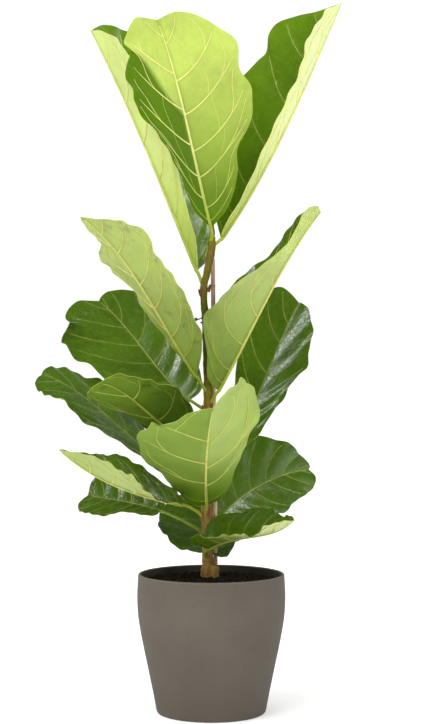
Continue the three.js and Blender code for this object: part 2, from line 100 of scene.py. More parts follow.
# Cane, wire tie with its bead, and bud, with their lengths in mm
CANE_FOOT = (6.0, 11.8, 172)
CANE_HEAD = (2, 11, 612)
CANE_RADIUS = 3.0
CANE_END_RADIUS = 2.4
CANE_RINGS = [236, 318, 402, 489, 574]
RING_HEIGHT = 0.28
RING_WIDTH = 2.2
TIE = [
    (-36, -9, 519), (-27, -10.5, 524), (-19, -9, 528.5), (-12.5, -7, 531), (-8.3, -6.1, 531.4),
    (-4.1, -4.2, 531), (5.9, 8, 529.8), (7.2, 11.1, 529), (5.9, 14.2, 528.3), (2.8, 15.5, 527.7),
    (-0.3, 14.2, 527.1), (-12.4, 4.2, 525.6), (-14.2, 0, 525), (-12.4, -4.2, 524.3),
    (-8.3, -6, 523.3), (-5.2, -5.4, 522), (-2.6, -6.4, 520),
]
TIE_RADIUS = 0.8
BEAD_PLACE = (-20.6, -9.4, 529.6)
BEAD_RADIUS = 2.1
BEAD_STRETCH = (1.15, 0.9, 0.9)
BEAD_COLOUR = (0.2, 0.2, 0.19)
BUD = [(0, 0), (2.3, 0.2), (2.9, 3), (2.7, 7), (1.9, 11), (0.8, 15), (0, 17)]
BUD_PLACE = (1.8, 1.4, 641.4)

# Outline of a plain leaf half between base and tip, as (share of half width, share of length)
PLAIN_OUTLINE = [
    (0.26, 0), (0.45, 0.12), (0.53, 0.29), (0.69, 0.46), (0.89, 0.61), (1, 0.75), (1, 0.87),
    (0.86, 0.97), (0.5, 1.04),
]

# Each leaf, in mm: where its stalk leaves the trunk, four points along its midrib from base to tip,
# the way its upper face looks at base and tip, the outline of its left and right half seen from the
# upper face (one number is the half width of a plain outline; a list holds [half width, share of
# length] between base and tip), how far each half folds up from flat, in degrees from base to tip,
# and the height of its waves.
LEAVES = [
    {
        "name": "leaf_crown_front", "age": "young", "node": [0, -2, 636],
        "midrib": [[0, -10, 652], [-22, -40, 743], [-43, -70, 830], [-70, -90, 915]],
        "face": [[0.1, 1, 0.3], [0.25, 1, 0.3]],
        "left": [[32, 0.08], [48, 0.2], [60, 0.33], [82, 0.45], [95, 0.57], [84, 0.66], [89, 0.75],
            [82, 0.84], [62, 0.92], [30, 1]],
        "right": [[27, 0.08], [43, 0.2], [55, 0.32], [69, 0.44], [82, 0.57], [87, 0.68], [78, 0.8],
            [58, 0.9], [54, 0.98], [32, 1.05]],
        "fold_left": [15, 5], "fold_right": [48, 45, 30, 15], "wave": 3, "seed": 1,
    },
    {
        "name": "leaf_crown_left", "age": "young", "node": [-10, 0, 570],
        "midrib": [[-19, 5, 595], [-65, 31, 707], [-113, 46, 818], [-167, 54, 930]],
        "face": [[0.9, 0, 0.4], [0.9, 0, 0.4]],
        "left": [[16, 0.06], [24, 0.17], [30, 0.31], [39, 0.44], [49, 0.56], [55, 0.66], [54, 0.76],
            [49, 0.84], [38, 0.91], [20, 0.97]],
        "right": [[30, 0.05], [54, 0.15], [72, 0.29], [82, 0.44], [86, 0.57], [88, 0.69], [86, 0.8],
            [80, 0.9], [60, 0.97], [30, 1.01]],
        "fold_left": [40, 50, 48, 40], "fold_right": [46, 46], "wave": 4, "seed": 2,
    },
    {
        "name": "leaf_crown_right", "age": "young", "node": [2, 1, 630],
        "midrib": [[13, 2, 638], [76, 10, 741], [129, 15, 850], [178, 20, 961]],
        "face": [[-0.89, 0, 0.45], [-0.89, 0, 0.45]],
        "left": [[30, 0.08], [52, 0.2], [70, 0.32], [87, 0.44], [94, 0.55], [82, 0.64], [72, 0.71],
            [76, 0.79], [62, 0.87], [30, 0.93]],
        "right": [[14, 0.04], [25, 0.16], [34, 0.3], [43, 0.43], [52, 0.56], [58, 0.66], [58, 0.76],
            [54, 0.84], [44, 0.92], [22, 0.96]],
        "fold_left": [72, 78], "fold_right": [20, 17, 17, 22], "wave": 3, "seed": 3,
    },
    {
        "name": "leaf_upper_left", "age": "grown", "node": [-5, -1, 428],
        "midrib": [[-20, -10, 453], [-67, -30, 530], [-114, -55, 604], [-171, -75, 661]],
        "face": [[0.81, 0, 0.58], [0.81, 0, 0.58]],
        "left": [[26, 0.08], [43, 0.18], [50, 0.29], [56, 0.4], [60, 0.49], [50, 0.57], [54, 0.65],
            [63, 0.74], [56, 0.82], [34, 0.87], [16, 0.93]],
        "right": [[16, 0.08], [28, 0.2], [38, 0.32], [48, 0.44], [60, 0.54], [74, 0.62], [76, 0.71],
            [48, 0.78], [34, 0.85], [18, 0.95]],
        "fold_left": [52, 44], "fold_right": [-15, -18], "wave": 3, "seed": 5,
    },
    {
        "name": "leaf_middle_left", "age": "old", "node": [-4, 2, 404],
        "midrib": [[-29, 15, 420], [-73, 75, 461], [-116, 130, 513], [-163, 160, 560]],
        "face": [[-0.1, -0.7, 0.7], [-0.1, -0.7, 0.7]],
        "left": [[32, 0.04], [56, 0.15], [72, 0.3], [86, 0.45], [97, 0.58], [100, 0.72], [93, 0.85],
            [80, 0.97], [60, 1.08], [26, 1.1]],
        "right": [[22, 0], [40, 0.12], [48, 0.28], [58, 0.43], [66, 0.56], [66, 0.68], [58, 0.79],
            [46, 0.89], [28, 0.98], [12, 1.01]],
        "fold_left": [14, 14], "fold_right": [15, 10], "wave": 3, "seed": 6,
    },
    {
        "name": "leaf_outer_left", "age": "old", "node": [-6, 1, 300],
        "midrib": [[-48, 20, 323], [-105, 15, 366], [-170, 10, 422], [-230, 5, 454]],
        "face": [[0.6, 0, 0.8], [0.6, 0, 0.8]],
        "left": 74,
        "right": [[26, 0.02], [44, 0.14], [56, 0.28], [68, 0.42], [74, 0.55], [74, 0.66], [68, 0.76],
            [58, 0.86], [38, 0.94], [14, 0.99]],
        "fold_left": [-18, -14], "fold_right": [20, 18], "wave": 4, "seed": 7,
    },
    {
        "name": "leaf_small_front", "age": "grown", "node": [-5, -2, 350],
        "midrib": [[-29, -20, 367], [-66, -75, 392], [-103, -128, 427], [-141, -162, 445]],
        "face": [[-0.1, 0.45, 0.9], [-0.1, 0.45, 0.9]],
        "left": [[22, 0], [38, 0.12], [46, 0.28], [54, 0.42], [56, 0.55], [50, 0.67], [42, 0.78],
            [32, 0.88], [18, 0.96]],
        "right": 48,
        "fold_left": [8, 0], "fold_right": [12, 4], "wave": 4, "seed": 8,
    },
    {
        "name": "leaf_upper_right", "age": "grown", "node": [-3, -1, 414],
        "midrib": [[9, -10, 433], [53, -15, 516], [98, -10, 600], [148, 0, 674]],
        "face": [[-0.87, 0, 0.5], [-0.87, 0, 0.5]],
        "left": [[30, 0.02], [46, 0.12], [58, 0.24], [66, 0.36], [67, 0.48], [58, 0.59], [44, 0.69],
            [37, 0.79], [38, 0.88], [42, 0.97], [24, 1.03]],
        "right": [[20, 0.03], [34, 0.11], [52, 0.2], [65, 0.3], [60, 0.4], [49, 0.5], [36, 0.6],
            [22, 0.69], [17, 0.77], [20, 0.86], [25, 0.94], [14, 1]],
        "fold_left": [22, 50, 40, 30], "fold_right": [75, 70, 50, 45], "wave": 3, "seed": 9,
    },
    {
        "name": "leaf_big_front", "age": "grown", "node": [-6, -2, 262],
        "midrib": [[-6, -12, 280], [-7, -85, 329], [-4, -165, 374], [2, -235, 416]],
        "face": [[0, 0.5, 0.85], [0, 0.5, 0.85]],
        "left": [[14, 0.03], [25, 0.1], [36, 0.2], [44, 0.34], [52, 0.45], [62, 0.56], [74, 0.64],
            [80, 0.7], [78, 0.8], [70, 0.89], [60, 1], [46, 0.99], [28, 1.03], [14, 1]],
        "right": [[20, -0.02], [34, 0.04], [43, 0.13], [54, 0.25], [70, 0.36], [86, 0.46], [87, 0.62],
            [84, 0.78], [72, 0.86], [56, 0.82], [36, 0.9], [16, 0.98]],
        "fold_left": [5, 15, 33, 54], "fold_right": [10, -5], "wave": 3, "seed": 10,
    },
    {
        "name": "leaf_middle_right", "age": "old", "node": [-3, 2, 322],
        "midrib": [[23, 25, 345], [60, 60, 414], [91, 90, 486], [124, 110, 556]],
        "face": [[-0.4, -0.7, 0.5], [-0.4, -0.7, 0.5]],
        "left": 58,
        "right": [[16, 0.04], [28, 0.16], [37, 0.28], [46, 0.4], [54, 0.52], [56, 0.64], [53, 0.76],
            [42, 0.88], [24, 0.97], [8, 1]],
        "fold_left": [28, 28], "fold_right": [6, 6], "wave": 4, "seed": 11,
    },
    {
        "name": "leaf_lower_right", "age": "old", "node": [-5, 2, 250],
        "midrib": [[15, 15, 263], [50, 70, 289], [94, 120, 308], [141, 160, 316]],
        "face": [[0, -1, 0], [0, -1, 0]],
        "left": [[24, -0.02], [40, 0.1], [52, 0.24], [62, 0.38], [68, 0.52], [62, 0.62], [50, 0.75],
            [37, 0.84], [22, 0.92], [8, 1]],
        "right": [[22, 0.05], [30, 0.2], [33, 0.3], [38, 0.42], [48, 0.56], [46, 0.68], [38, 0.8],
            [35, 0.96], [24, 1.04], [10, 1.06]],
        "fold_left": [8, 8], "fold_right": [6, 6], "wave": 4, "seed": 12,
    },
    {
        "name": "leaf_lower_left", "age": "grown", "node": [-6, -1, 258],
        "midrib": [[-39, -20, 281], [-97, -55, 299], [-150, -85, 324], [-196, -105, 359]],
        "face": [[0.43, 0, 0.9], [0.5, 0, 0.9]],
        "left": [[24, 0.06], [40, 0.2], [46, 0.32], [50, 0.42], [56, 0.52], [60, 0.61], [58, 0.7],
            [46, 0.8], [28, 0.9], [12, 0.96]],
        "right": [[26, 0.02], [44, 0.14], [54, 0.28], [58, 0.4], [56, 0.52], [46, 0.62], [34, 0.72],
            [24, 0.82], [14, 0.9], [6, 0.97]],
        "fold_left": [5, 12, 28, 30], "fold_right": [30, 38], "wave": 3, "seed": 14,
    },
    {
        "name": "leaf_under_left", "age": "old", "node": [-6, 1, 238],
        "midrib": [[-69, 14, 270], [-103, 34, 277], [-139, 53, 282], [-172, 68, 286]],
        "face": [[-0.1, -0.6, 0.8], [-0.1, -0.6, 0.8]],
        "left": 40,
        "right": 46,
        "fold_left": [6, 6], "fold_right": [8, 8], "wave": 4, "seed": 15,
    },
    {
        "name": "leaf_bottom_right", "age": "old", "node": [-4, -2, 208],
        "midrib": [[-3, -24, 222], [36, -48, 239], [74, -68, 247], [108, -84, 266]],
        "face": [[0, 0, 1], [0, 0, 1]],
        "left": [[24, -0.08], [35, 0.02], [42, 0.16], [46, 0.32], [50, 0.48], [48, 0.62], [40, 0.75],
            [30, 0.87], [16, 0.97]],
        "right": [[28, -0.02], [40, 0.08], [44, 0.22], [48, 0.38], [50, 0.52], [50, 0.64], [46, 0.76],
            [38, 0.88], [22, 0.97]],
        "fold_left": [66, 50, 36, 28], "fold_right": [30, 8, 6, 12], "wave": 4, "seed": 13,
    },
    {
        "name": "leaf_bottom_back", "age": "old", "node": [-5, 3, 203],
        "midrib": [[-7, 17, 214], [-12, 80, 234], [-14, 140, 257], [-12, 190, 281]],
        "face": [[0, -0.5, 0.85], [0, -0.4, 0.9]],
        "left": [[12, -0.03], [28, 0.04], [44, 0.13], [56, 0.26], [62, 0.42], [60, 0.57], [52, 0.72],
            [36, 0.88], [16, 0.97]],
        "right": [[16, -0.12], [28, -0.1], [38, 0], [50, 0.14], [58, 0.28], [61, 0.42], [57, 0.57],
            [48, 0.72], [32, 0.88], [14, 0.97]],
        "fold_left": [5, 5], "fold_right": [5, 5], "wave": 4, "seed": 17,
    },
]

# Leaves with small brown spots on the underside
SPOTTED_LEAVES = {"leaf_upper_left", "leaf_small_front"}

# Waves along a blade's half: half turns from base to tip, and how seed and side shift them; and how
# deep the scallops are, as a share of the half width
WAVES = (5.8, 2.3, 1)
SMALL_WAVES = (11.2, 4.1, -2)
RIPPLES = (23, 3.1, 2)
SCALLOPS = (12, 1.7, 1)
SCALLOP_DEPTH = 0.03

# Painted shade and painted light on the undersides, as shares: painted shade in dark green near the
# stalk, painted shade all over, and painted light, paler towards the tip
PLAIN_SHADE_AND_LIGHT = (0.5, 0, 0)
UNDER_SHADE_AND_LIGHT = {
    "leaf_crown_front": (1, 0, 0.1), "leaf_crown_left": (0, 0, 0.45),
    "leaf_crown_right": (0, 0, 0.85), "leaf_upper_left": (0.35, 0, 0.2),
    "leaf_upper_right": (0.65, 0, 0.3), "leaf_small_front": (0.9, 0.8, 0),
    "leaf_big_front": (1, 0.36, 0.2), "leaf_lower_left": (0.35, 0.45, 0.5),
    "leaf_bottom_right": (1, 0, 0.5),
}

# Halves in painted shade, in dark green, up to a side vein: side, the vein's row at midrib and margin,
# share
PAINTED_SHADE_HALVES = {
    "leaf_crown_front": (1, 0.63, 0.79, 1), "leaf_big_front": (1, 1.05, 1.05, 0.72),
}

# Side veins: how far along the midrib each leaves it, the leaves that have fewer, how far and how late
# a vein bends towards the tip, and in mm how far it stands out and how wide a half has to be for forks
VEIN_STARTS = [0.03, 0.14, 0.29, 0.45, 0.61, 0.77, 0.9]
FEW_STARTS = [0.04, 0.25, 0.46, 0.7]
FEW_VEINS = {"leaf_small_front", "leaf_big_front"}
VEIN_BEND = 0.15
BEND_POWER = 2.5
VEIN_PROUD = 0.16
BROAD_BLADE = 34

# Radii in mm: side veins at the midrib on broad and slim blades, their ends, forks, and cross veins
BROAD_VEIN = 1.15
SLIM_VEIN = 0.75
VEIN_END = 0.45
FORK_RADII = (0.5, 0.36)
CROSS_VEIN = 0.2

# Mesh sizes, and how wide the sheet is that a leaf is unrolled on for its finish, in mm
BLADE_ROWS = 128
BLADE_COLUMNS = 40
RIB_ROWS = 44
STALK_ROWS = 14
VEIN_ROWS = 26
FORK_ROWS = 12
CROSS_ROWS = 10
POT_STEPS = 128
POT_OUTER_ROWS = 40
POT_INNER_ROWS = 16
SOIL_STEPS = 96
SOIL_RINGS = 44
TRUNK_ROWS = 240
STUMP_ROWS = 26
CANE_ROWS = 180
TIE_ROWS = 140
BUD_ROWS = 30
BUD_STEPS = 24
UNROLLED = 400

# Leaf finishes: how far light wanders in a blade, the painted shade and painted light of the undersides,
# the green of veins near the base, the painted shade beside the veins, small spots, and what sets the
# upper side and the underside apart
LIGHT_REACH = (0.3, 0.48, 0.06)
PAINTED_SHADE_GREEN = (0.2, 0.33, 0.01)
PAINTED_LIGHT_GREEN = (0.8, 0.86, 0.45)
STALK_GREEN = (0.5, 0.62, 0.14)
VEIN_SHADE = (0.55, 0.68, 0.3)
LEAF_SPOT = (0.16, 0.11, 0.03)
UPPER_LOOK = {
    "roughness": 0.24, "specular": 0.4, "through": 0.4, "net": 0.05, "glow": 0.12, "puff": -0.12,
    "depth": 0.0, "spots": 0.0,
}
# The underside's look takes its leaf's painted shade and painted light, and painted shade beside its
# veins
UNDER_LOOK = {
    "roughness": 0.5, "specular": 0.08, "through": 0.35, "net": 0.12, "glow": 0.6, "puff": 0.06,
    "depth": 1.0, "spots": 0.0,
}
SPOTTED_LOOK = {**UNDER_LOOK, "spots": 0.5}

# Stage, with places in m: floor, camera, sun, how bright the room looks in shine, and each lamp as
# (place, aim, size)
FLOOR_HALF = 60
FLOOR_GLOW = 0.4
CAMERA_PLACE = (0.0023, -2.2275, 0.4718)
CAMERA_LENS = 82.04
SUN_FROM = (-1.0, -0.9, 1.2)
SUN_ANGLE = 0.9
GLOSSY_ROOM = 0.3
FILL_LAMP = ((1.7, -1.9, 1.5), (0, 0, 0.5), 1.2)
TOP_LAMP = ((-0.1, 0.1, 2.4), (0, 0, 0.4), 1.3)
GLINT_LAMPS = [((-1.3, 0.5, 1.7), (0, 0, 0.4), 0.6), ((1.3, 0.5, 1.7), (0, 0, 0.4), 0.6)]


# Small helpers
def sizes():
    return bpy.context.scene.fig_sizes


def colour_of(name):
    return tuple(getattr(bpy.context.scene.fig_colours, name))


def unit(vectors):
    return vectors / np.maximum(np.linalg.norm(vectors, axis=-1, keepdims=True), 1e-9)


def through(points, t):
    """A smooth curve through a list of points, at shares t of its steps."""
    knots = np.array(points, float).reshape(len(points), -1)
    last = len(knots) - 1
    place = np.clip(t, 0, 1) * last
    i = np.minimum(place.astype(int), last - 1)
    r = (place - i)[:, None]
    start, end = knots[i], knots[i + 1]
    leave = (end - knots[np.maximum(i - 1, 0)]) / 2
    arrive = (knots[np.minimum(i + 2, last)] - start) / 2
    return ((2 * start - 2 * end + leave + arrive) * r ** 3
            + (3 * end - 3 * start - 2 * leave - arrive) * r ** 2 + leave * r + start)


def smooth(points, count):
    return through(points, np.linspace(0, 1, count))


def select_only(piece):
    bpy.ops.object.select_all(action="DESELECT")
    piece.select_set(True)
    bpy.context.view_layer.objects.active = piece


def new_piece(add, **values):
    """A piece from one of Blender's own shapes."""
    bpy.ops.object.select_all(action="DESELECT")
    add(**values)
    return bpy.context.view_layer.objects.active


def new_object(name, data):
    made = bpy.data.objects.new(name, data)
    bpy.context.collection.objects.link(made)
    return made


def apply_modifier(piece, kind, **values):
    select_only(piece)
    modifier = piece.modifiers.new(kind.title(), kind)
    for name, value in values.items():
        setattr(modifier, name, value)
    bpy.ops.object.modifier_apply(modifier=modifier.name)


def edit_all(piece, *steps):
    """Runs edit-mode steps on the whole mesh of a piece."""
    select_only(piece)
    bpy.ops.object.mode_set(mode="EDIT")
    bpy.ops.mesh.select_all(action="SELECT")
    for step in steps:
        step()
    bpy.ops.object.mode_set(mode="OBJECT")


def join_pieces(pieces):
    bpy.ops.object.select_all(action="DESELECT")
    for piece in pieces:
        piece.select_set(True)
    bpy.context.view_layer.objects.active = pieces[0]
    bpy.ops.object.join()
    return pieces[0]


def mesh_points(piece):
    flat = np.zeros(len(piece.data.vertices) * 3)
    piece.data.vertices.foreach_get("co", flat)
    return flat.reshape(-1, 3)


def set_points(piece, points):
    piece.data.vertices.foreach_set("co", np.asarray(points, float).ravel())
    piece.data.update()


def add_attribute(piece, name, values):
    made = piece.data.attributes.new(name, "FLOAT", "POINT")
    made.data.foreach_set("value", np.asarray(values, float))


def shade_smooth(piece, degrees):
    select_only(piece)
    bpy.ops.object.shade_smooth_by_angle(angle=math.radians(degrees))


def use_material(piece, *materials):
    piece.data.materials.clear()
    for material in materials:
        piece.data.materials.append(material)


def stand_for(piece, name, node):
    """Names a finished piece, hangs it under the root body and hides the imported part that it stands
    for.
    """
    piece.name = name
    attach(piece, "root")
    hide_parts(node)


def tubes(name, lines, around):
    """Round rods along lines of points, in mm, each with a radius for each point."""
    curve = bpy.data.curves.new(name, "CURVE")
    curve.dimensions = "3D"
    curve.bevel_depth = MM
    curve.bevel_resolution = around
    curve.use_fill_caps = True
    for points, radii in lines:
        spline = curve.splines.new("POLY")
        spline.points.add(len(points) - 1)
        row = np.column_stack([np.asarray(points) * MM, np.ones(len(points))])
        spline.points.foreach_set("co", row.ravel())
        spline.points.foreach_set("radius", np.asarray(radii, float))
    select_only(new_object(name, curve))
    bpy.ops.object.convert(target="MESH")
    return bpy.context.view_layer.objects.active


def turned(section, steps):
    """A closed round piece from a half section, in mm, that starts and ends on the axis."""
    piece = new_piece(bpy.ops.mesh.primitive_circle_add, vertices=len(section), radius=1)
    set_points(piece, np.array([(radius, 0, height) for radius, height in section]) * MM)
    apply_modifier(piece, "SCREW", steps=steps, render_steps=steps, use_merge_vertices=True,
                   merge_threshold=1e-6, use_normal_calculate=True)
    edit_all(piece, lambda: bpy.ops.mesh.remove_doubles(threshold=1e-6),
             lambda: bpy.ops.mesh.delete_loose(),
             lambda: bpy.ops.mesh.normals_make_consistent(inside=False))
    return piece


def lumps(points, scale, height, seed):
    """Soft lumps, in mm, at points in mm: one value for each point."""
    shift = seed * np.array([31.7, 17.3, 7.9])
    return height * np.array([noise.noise(Vector(place)) for place in points / scale + shift])


def nearness(height, marks, width):
    """How near each height is to one of the marks, from 0 to 1."""
    gap = np.abs(height[:, None] - np.array(marks)[None]).min(axis=1)
    return np.exp(-(gap / width) ** 2)


# Material nodes
class Nodes:
    """Short calls for the nodes that this plant's finishes and its stage share."""

    def __init__(self, tree):
        self.tree = tree

    def put(self, socket, value):
        if isinstance(value, bpy.types.NodeSocket):
            self.tree.links.new(value, socket)
        elif value is not None:
            socket.default_value = value

    def node(self, kind, inputs=(), **values):
        made = self.tree.nodes.new(kind)
        for name, value in values.items():
            setattr(made, name, value)
        for name, value in dict(inputs).items():
            self.put(made.inputs[name], value)
        return made

    def ramp(self, value, low, high, start=0, end=1, curve="LINEAR"):
        """Spreads a value from low..high to start..end."""
        return self.node("ShaderNodeMapRange", {
            "Value": value, "From Min": low, "From Max": high, "To Min": start, "To Max": end,
        }, interpolation_type=curve).outputs["Result"]

    def math(self, operation, first, second, third=None):
        made = self.node("ShaderNodeMath", operation=operation)
        for socket, value in zip(made.inputs, (first, second, third)):
            self.put(socket, value)
        return made.outputs[0]


class Finish(Nodes):
    """A material of its own roughness and shine, and the nodes that build up its look."""

    def __init__(self, name, roughness, specular):
        self.material = bpy.data.materials.new(name)
        self.material.use_nodes = True
        super().__init__(self.material.node_tree)
        self.shader = self.tree.nodes["Principled BSDF"]
        self.roughness(roughness)
        self.shader.inputs["Specular IOR Level"].default_value = specular

    def place(self, source="Object", scale=(1, 1, 1)):
        coordinates = self.node("ShaderNodeTexCoord").outputs[source]
        return self.node("ShaderNodeMapping", {"Vector": coordinates, "Scale": scale}).outputs[0]

    def height(self):
        return self.node("ShaderNodeSeparateXYZ", {"Vector": self.place()}).outputs["Z"]

    def noise(self, scale, detail=3, place=None, roughness=0.5):
        place = place or self.place()
        return self.node("ShaderNodeTexNoise", {
            "Vector": place, "Scale": scale, "Detail": detail, "Roughness": roughness,
        }).outputs["Fac"]

    def attribute(self, name, strength=1):
        share = self.node("ShaderNodeAttribute", attribute_name=name).outputs["Fac"]
        return share if strength == 1 else self.math("MULTIPLY", share, strength)

    def mix(self, share, first, second, blend="MIX"):
        made = self.node("ShaderNodeMix", data_type="RGBA", blend_type=blend)
        self.put(made.inputs[0], share)
        for socket, value in ((made.inputs[6], first), (made.inputs[7], second)):
            self.put(socket, (*value, 1) if isinstance(value, tuple) else value)
        return made.outputs[2]

    def shades(self, value, low, high, colour, first, second):
        """Two tones of a colour: one where a value is low and one where it is high."""
        return self.mix(self.ramp(value, low, high), tone(colour, first), tone(colour, second))

    def colour(self, value):
        self.put(self.shader.inputs["Base Color"], value)

    def roughness(self, value):
        self.put(self.shader.inputs["Roughness"], value)

    def let_light_through(self, share, reach):
        """Light wanders through the thin blade; reach is how far, in mm, for red, green and blue."""
        self.shader.inputs["Subsurface Weight"].default_value = share
        self.shader.inputs["Subsurface Radius"].default_value = reach
        self.shader.inputs["Subsurface Scale"].default_value = MM

    def bump(self, height, depth, strength=1.0):
        """Bump of a depth in mm where height goes from 0 to 1."""
        before = self.shader.inputs["Normal"].links
        under = before[0].from_socket if before else None
        made = self.node("ShaderNodeBump", {
            "Height": height, "Distance": depth * MM, "Strength": strength, "Normal": under,
        })
        self.put(self.shader.inputs["Normal"], made.outputs[0])


def tone(colour, factor):
    return tuple(min(channel * factor, 1) for channel in colour)


# Pot and soil
def pot_finish(colour):
    finish = Finish("stone_pot", 0.8, 0.3)
    cloud = finish.noise(14, 4)
    grain = finish.noise(520, 3, roughness=0.7)
    grit = finish.noise(1500, 2)
    body = finish.shades(cloud, 0.35, 0.65, colour, 0.93, 1.07)
    body = finish.mix(finish.ramp(grain, 0.56, 0.7), body, tone(colour, 1.3))
    body = finish.mix(finish.ramp(grit, 0.6, 0.72), body, tone(colour, 0.72))
    # Painted shade: the pot darker towards the bottom
    body = finish.mix(finish.ramp(finish.height(), 0.14, 0.0, 0, 0.4), body, tone(colour, 0.5))
    # Painted shade on the pot's inner wall
    body = finish.mix(finish.attribute("inside"), body, tone(colour, 0.6))
    # Painted highlight along the top of the lip
    body = finish.mix(finish.attribute("rim"), body, tone(colour, 1.4))
    finish.colour(body)
    finish.roughness(finish.ramp(grain, 0.3, 0.7, 0.72, 0.9))
    finish.bump(grain, 0.25, 0.6)
    finish.bump(grit, 0.12, 0.6)
    return finish.material


def build_pot():
    outer, inner = smooth(POT_OUTER, POT_OUTER_ROWS), smooth(POT_INNER, POT_INNER_ROWS)
    section = [*POT_FOOT, *outer, *POT_LIP, *inner, *POT_WELL, (0, POT_FLOOR)]
    pot = turned(section, POT_STEPS)
    points = mesh_points(pot) / MM
    reach = np.hypot(points[:, 0], points[:, 1])
    wall = np.interp(points[:, 2], *np.array(POT_OUTER, float).T[::-1])
    # Mask for the painted shade on the inner wall
    add_attribute(pot, "inside", (reach < wall - 2) & (points[:, 2] > POT_FLOOR - 0.5))
    # Mask for the painted highlight along the lip
    add_attribute(pot, "rim", points[:, 2] > POT_LIP[0][1] - 0.5)
    use_material(pot, pot_finish(colour_of("pot")))
    shade_smooth(pot, 40)
    stand_for(pot, "stone_pot", "pot")


def soil_finish(colour):
    finish = Finish("soil", 0.95, 0.2)
    clump = finish.noise(90, 4)
    crumb = finish.noise(600, 3)
    body = finish.shades(clump, 0.35, 0.65, colour, 0.55, 1.5)
    body = finish.mix(finish.ramp(crumb, 0.62, 0.75), body, tone(colour, 4))
    finish.colour(body)
    finish.bump(clump, 2)
    finish.bump(crumb, 0.8)
    return finish.material


def soil_height(radius):
    reach, height = np.array(SOIL_TOP, float).T
    return np.interp(radius, reach, height)


def soil_body():
    """The filled ground with a lumpy top."""
    radii = np.linspace(0, SOIL_TOP[-1][0], SOIL_RINGS)
    top = [(radius, float(soil_height(radius))) for radius in radii]
    section = [(0, SOIL_WALL[0][1]), *SOIL_WALL, *reversed(top)]
    soil = turned(section, SOIL_STEPS)
    points = mesh_points(soil) / MM
    is_top = points[:, 2] > SOIL_TOP[-1][1] - 0.5
    rough = lumps(points, 9, 2.2, 1) + lumps(points, 3.5, 1.4, 2)
    points[:, 2] += np.where(is_top, rough, 0)
    set_points(soil, points * MM)
    return soil


def soil_grains(count):
    """One lumpy grain, copied over the ground in many sizes and turns."""
    rng = np.random.default_rng(GRAIN_SEED)
    grain = new_piece(bpy.ops.mesh.primitive_ico_sphere_add, subdivisions=1, radius=1)
    form = mesh_points(grain)
    form *= 1 + 0.25 * rng.standard_normal((len(form), 1))
    faces = np.array([face.vertices[:] for face in grain.data.polygons])
    radius = GRAIN_REACH * np.sqrt(rng.random(count))
    angle = rng.random(count) * 2 * math.pi
    size = rng.uniform(*GRAIN_SIZES, count) * np.where(rng.random(count) < 0.06, 1.5, 1)
    centre = np.column_stack([
        radius * np.cos(angle), radius * np.sin(angle), soil_height(radius) + 0.3 * size,
    ])
    clear = np.hypot(*(centre[:, :2] - STUMP_PLACE).T) > STUMP_ROOM
    centre, size = centre[clear], size[clear]
    turns = [Euler(rng.uniform(0, 6.28, 3)).to_matrix() for _ in size]
    stretch = rng.uniform(0.6, 1.25, (len(size), 1, 3))
    vertices = np.einsum("nij,kj->nki", np.array(turns), form) * stretch * size[:, None, None]
    vertices = (vertices + centre[:, None, :]).reshape(-1, 3)
    all_faces = (faces[None] + len(form) * np.arange(len(size))[:, None, None]).reshape(-1, 3)
    grain.data.clear_geometry()
    grain.data.from_pydata((vertices * MM).tolist(), [], all_faces.tolist())
    return grain


def build_soil():
    finish = soil_finish(colour_of("soil"))
    soil = soil_body()
    use_material(soil, finish)
    shade_smooth(soil, 60)
    grains = soil_grains(sizes().soil_grain_count)
    use_material(grains, finish)
    stand_for(join_pieces([soil, grains]), "potting_soil", "soil")


# Trunk, cane, tie and bud
def bark_finish(colour, old_colour):
    finish = Finish("trunk_bark", 0.62, 0.1)
    along = finish.noise(60, 5, finish.place(scale=(3, 3, 0.6)))
    fleck = finish.noise(420, 3, finish.place(scale=(1, 1, 0.45)))
    uneven = finish.math("ADD", finish.height(), finish.math("MULTIPLY", along, 0.16))
    age = finish.ramp(uneven, 0.5, 0.22)
    body = finish.mix(age, colour, old_colour)
    body = finish.mix(finish.ramp(along, 0.4, 0.62), tone(old_colour, 0.45), body)
    body = finish.mix(finish.ramp(fleck, 0.6, 0.74, 0, 0.5), body, tone(old_colour, 1.6))
    body = finish.mix(finish.attribute("scar"), body, tone(old_colour, 0.5))
    finish.colour(body)
    finish.bump(along, 0.9)
    finish.bump(fleck, 0.3)
    return finish.material


def push_out(piece, points, axis, swell):
    """Moves a piece's points, in mm, away from an upright axis."""
    points[:, :2] += unit(points[:, :2] - axis) * swell[:, None]
    set_points(piece, points * MM)


def trunk_body():
    """The stem, swollen and ringed at its old leaf scars."""
    line = smooth(TRUNK, TRUNK_ROWS)
    radii = line[:, 3] * (0.97 + SCAR_SWELL * nearness(line[:, 2], SCARS, SCAR_WIDTH))
    stem = tubes("stem", [(line[:, :3], radii)], 5)
    points = mesh_points(stem) / MM
    axis = np.column_stack([np.interp(points[:, 2], line[:, 2], line[:, k]) for k in (0, 1)])
    push_out(stem, points, axis, lumps(points * [1, 1, 0.5], 7, 0.7, 3) + lumps(points, 2.2, 0.25, 4))
    add_attribute(stem, "scar", 0.8 * nearness(points[:, 2], SCARS, SCAR_LINE))
    return stem


def stump_body():
    """Old lumpy wood that the trunk stands in."""
    ring = smooth(STUMP, STUMP_ROWS)
    line = [(*STUMP_PLACE, height) for height, _ in ring]
    stump = tubes("stump", [(line, ring[:, 1])], 14)
    points = mesh_points(stump) / MM
    push_out(stump, points, STUMP_PLACE, lumps(points, 6, 1.3, 5) + lumps(points, 2, 0.6, 6))
    add_attribute(stump, "scar", 0.3 * np.ones(len(points)))
    return stump


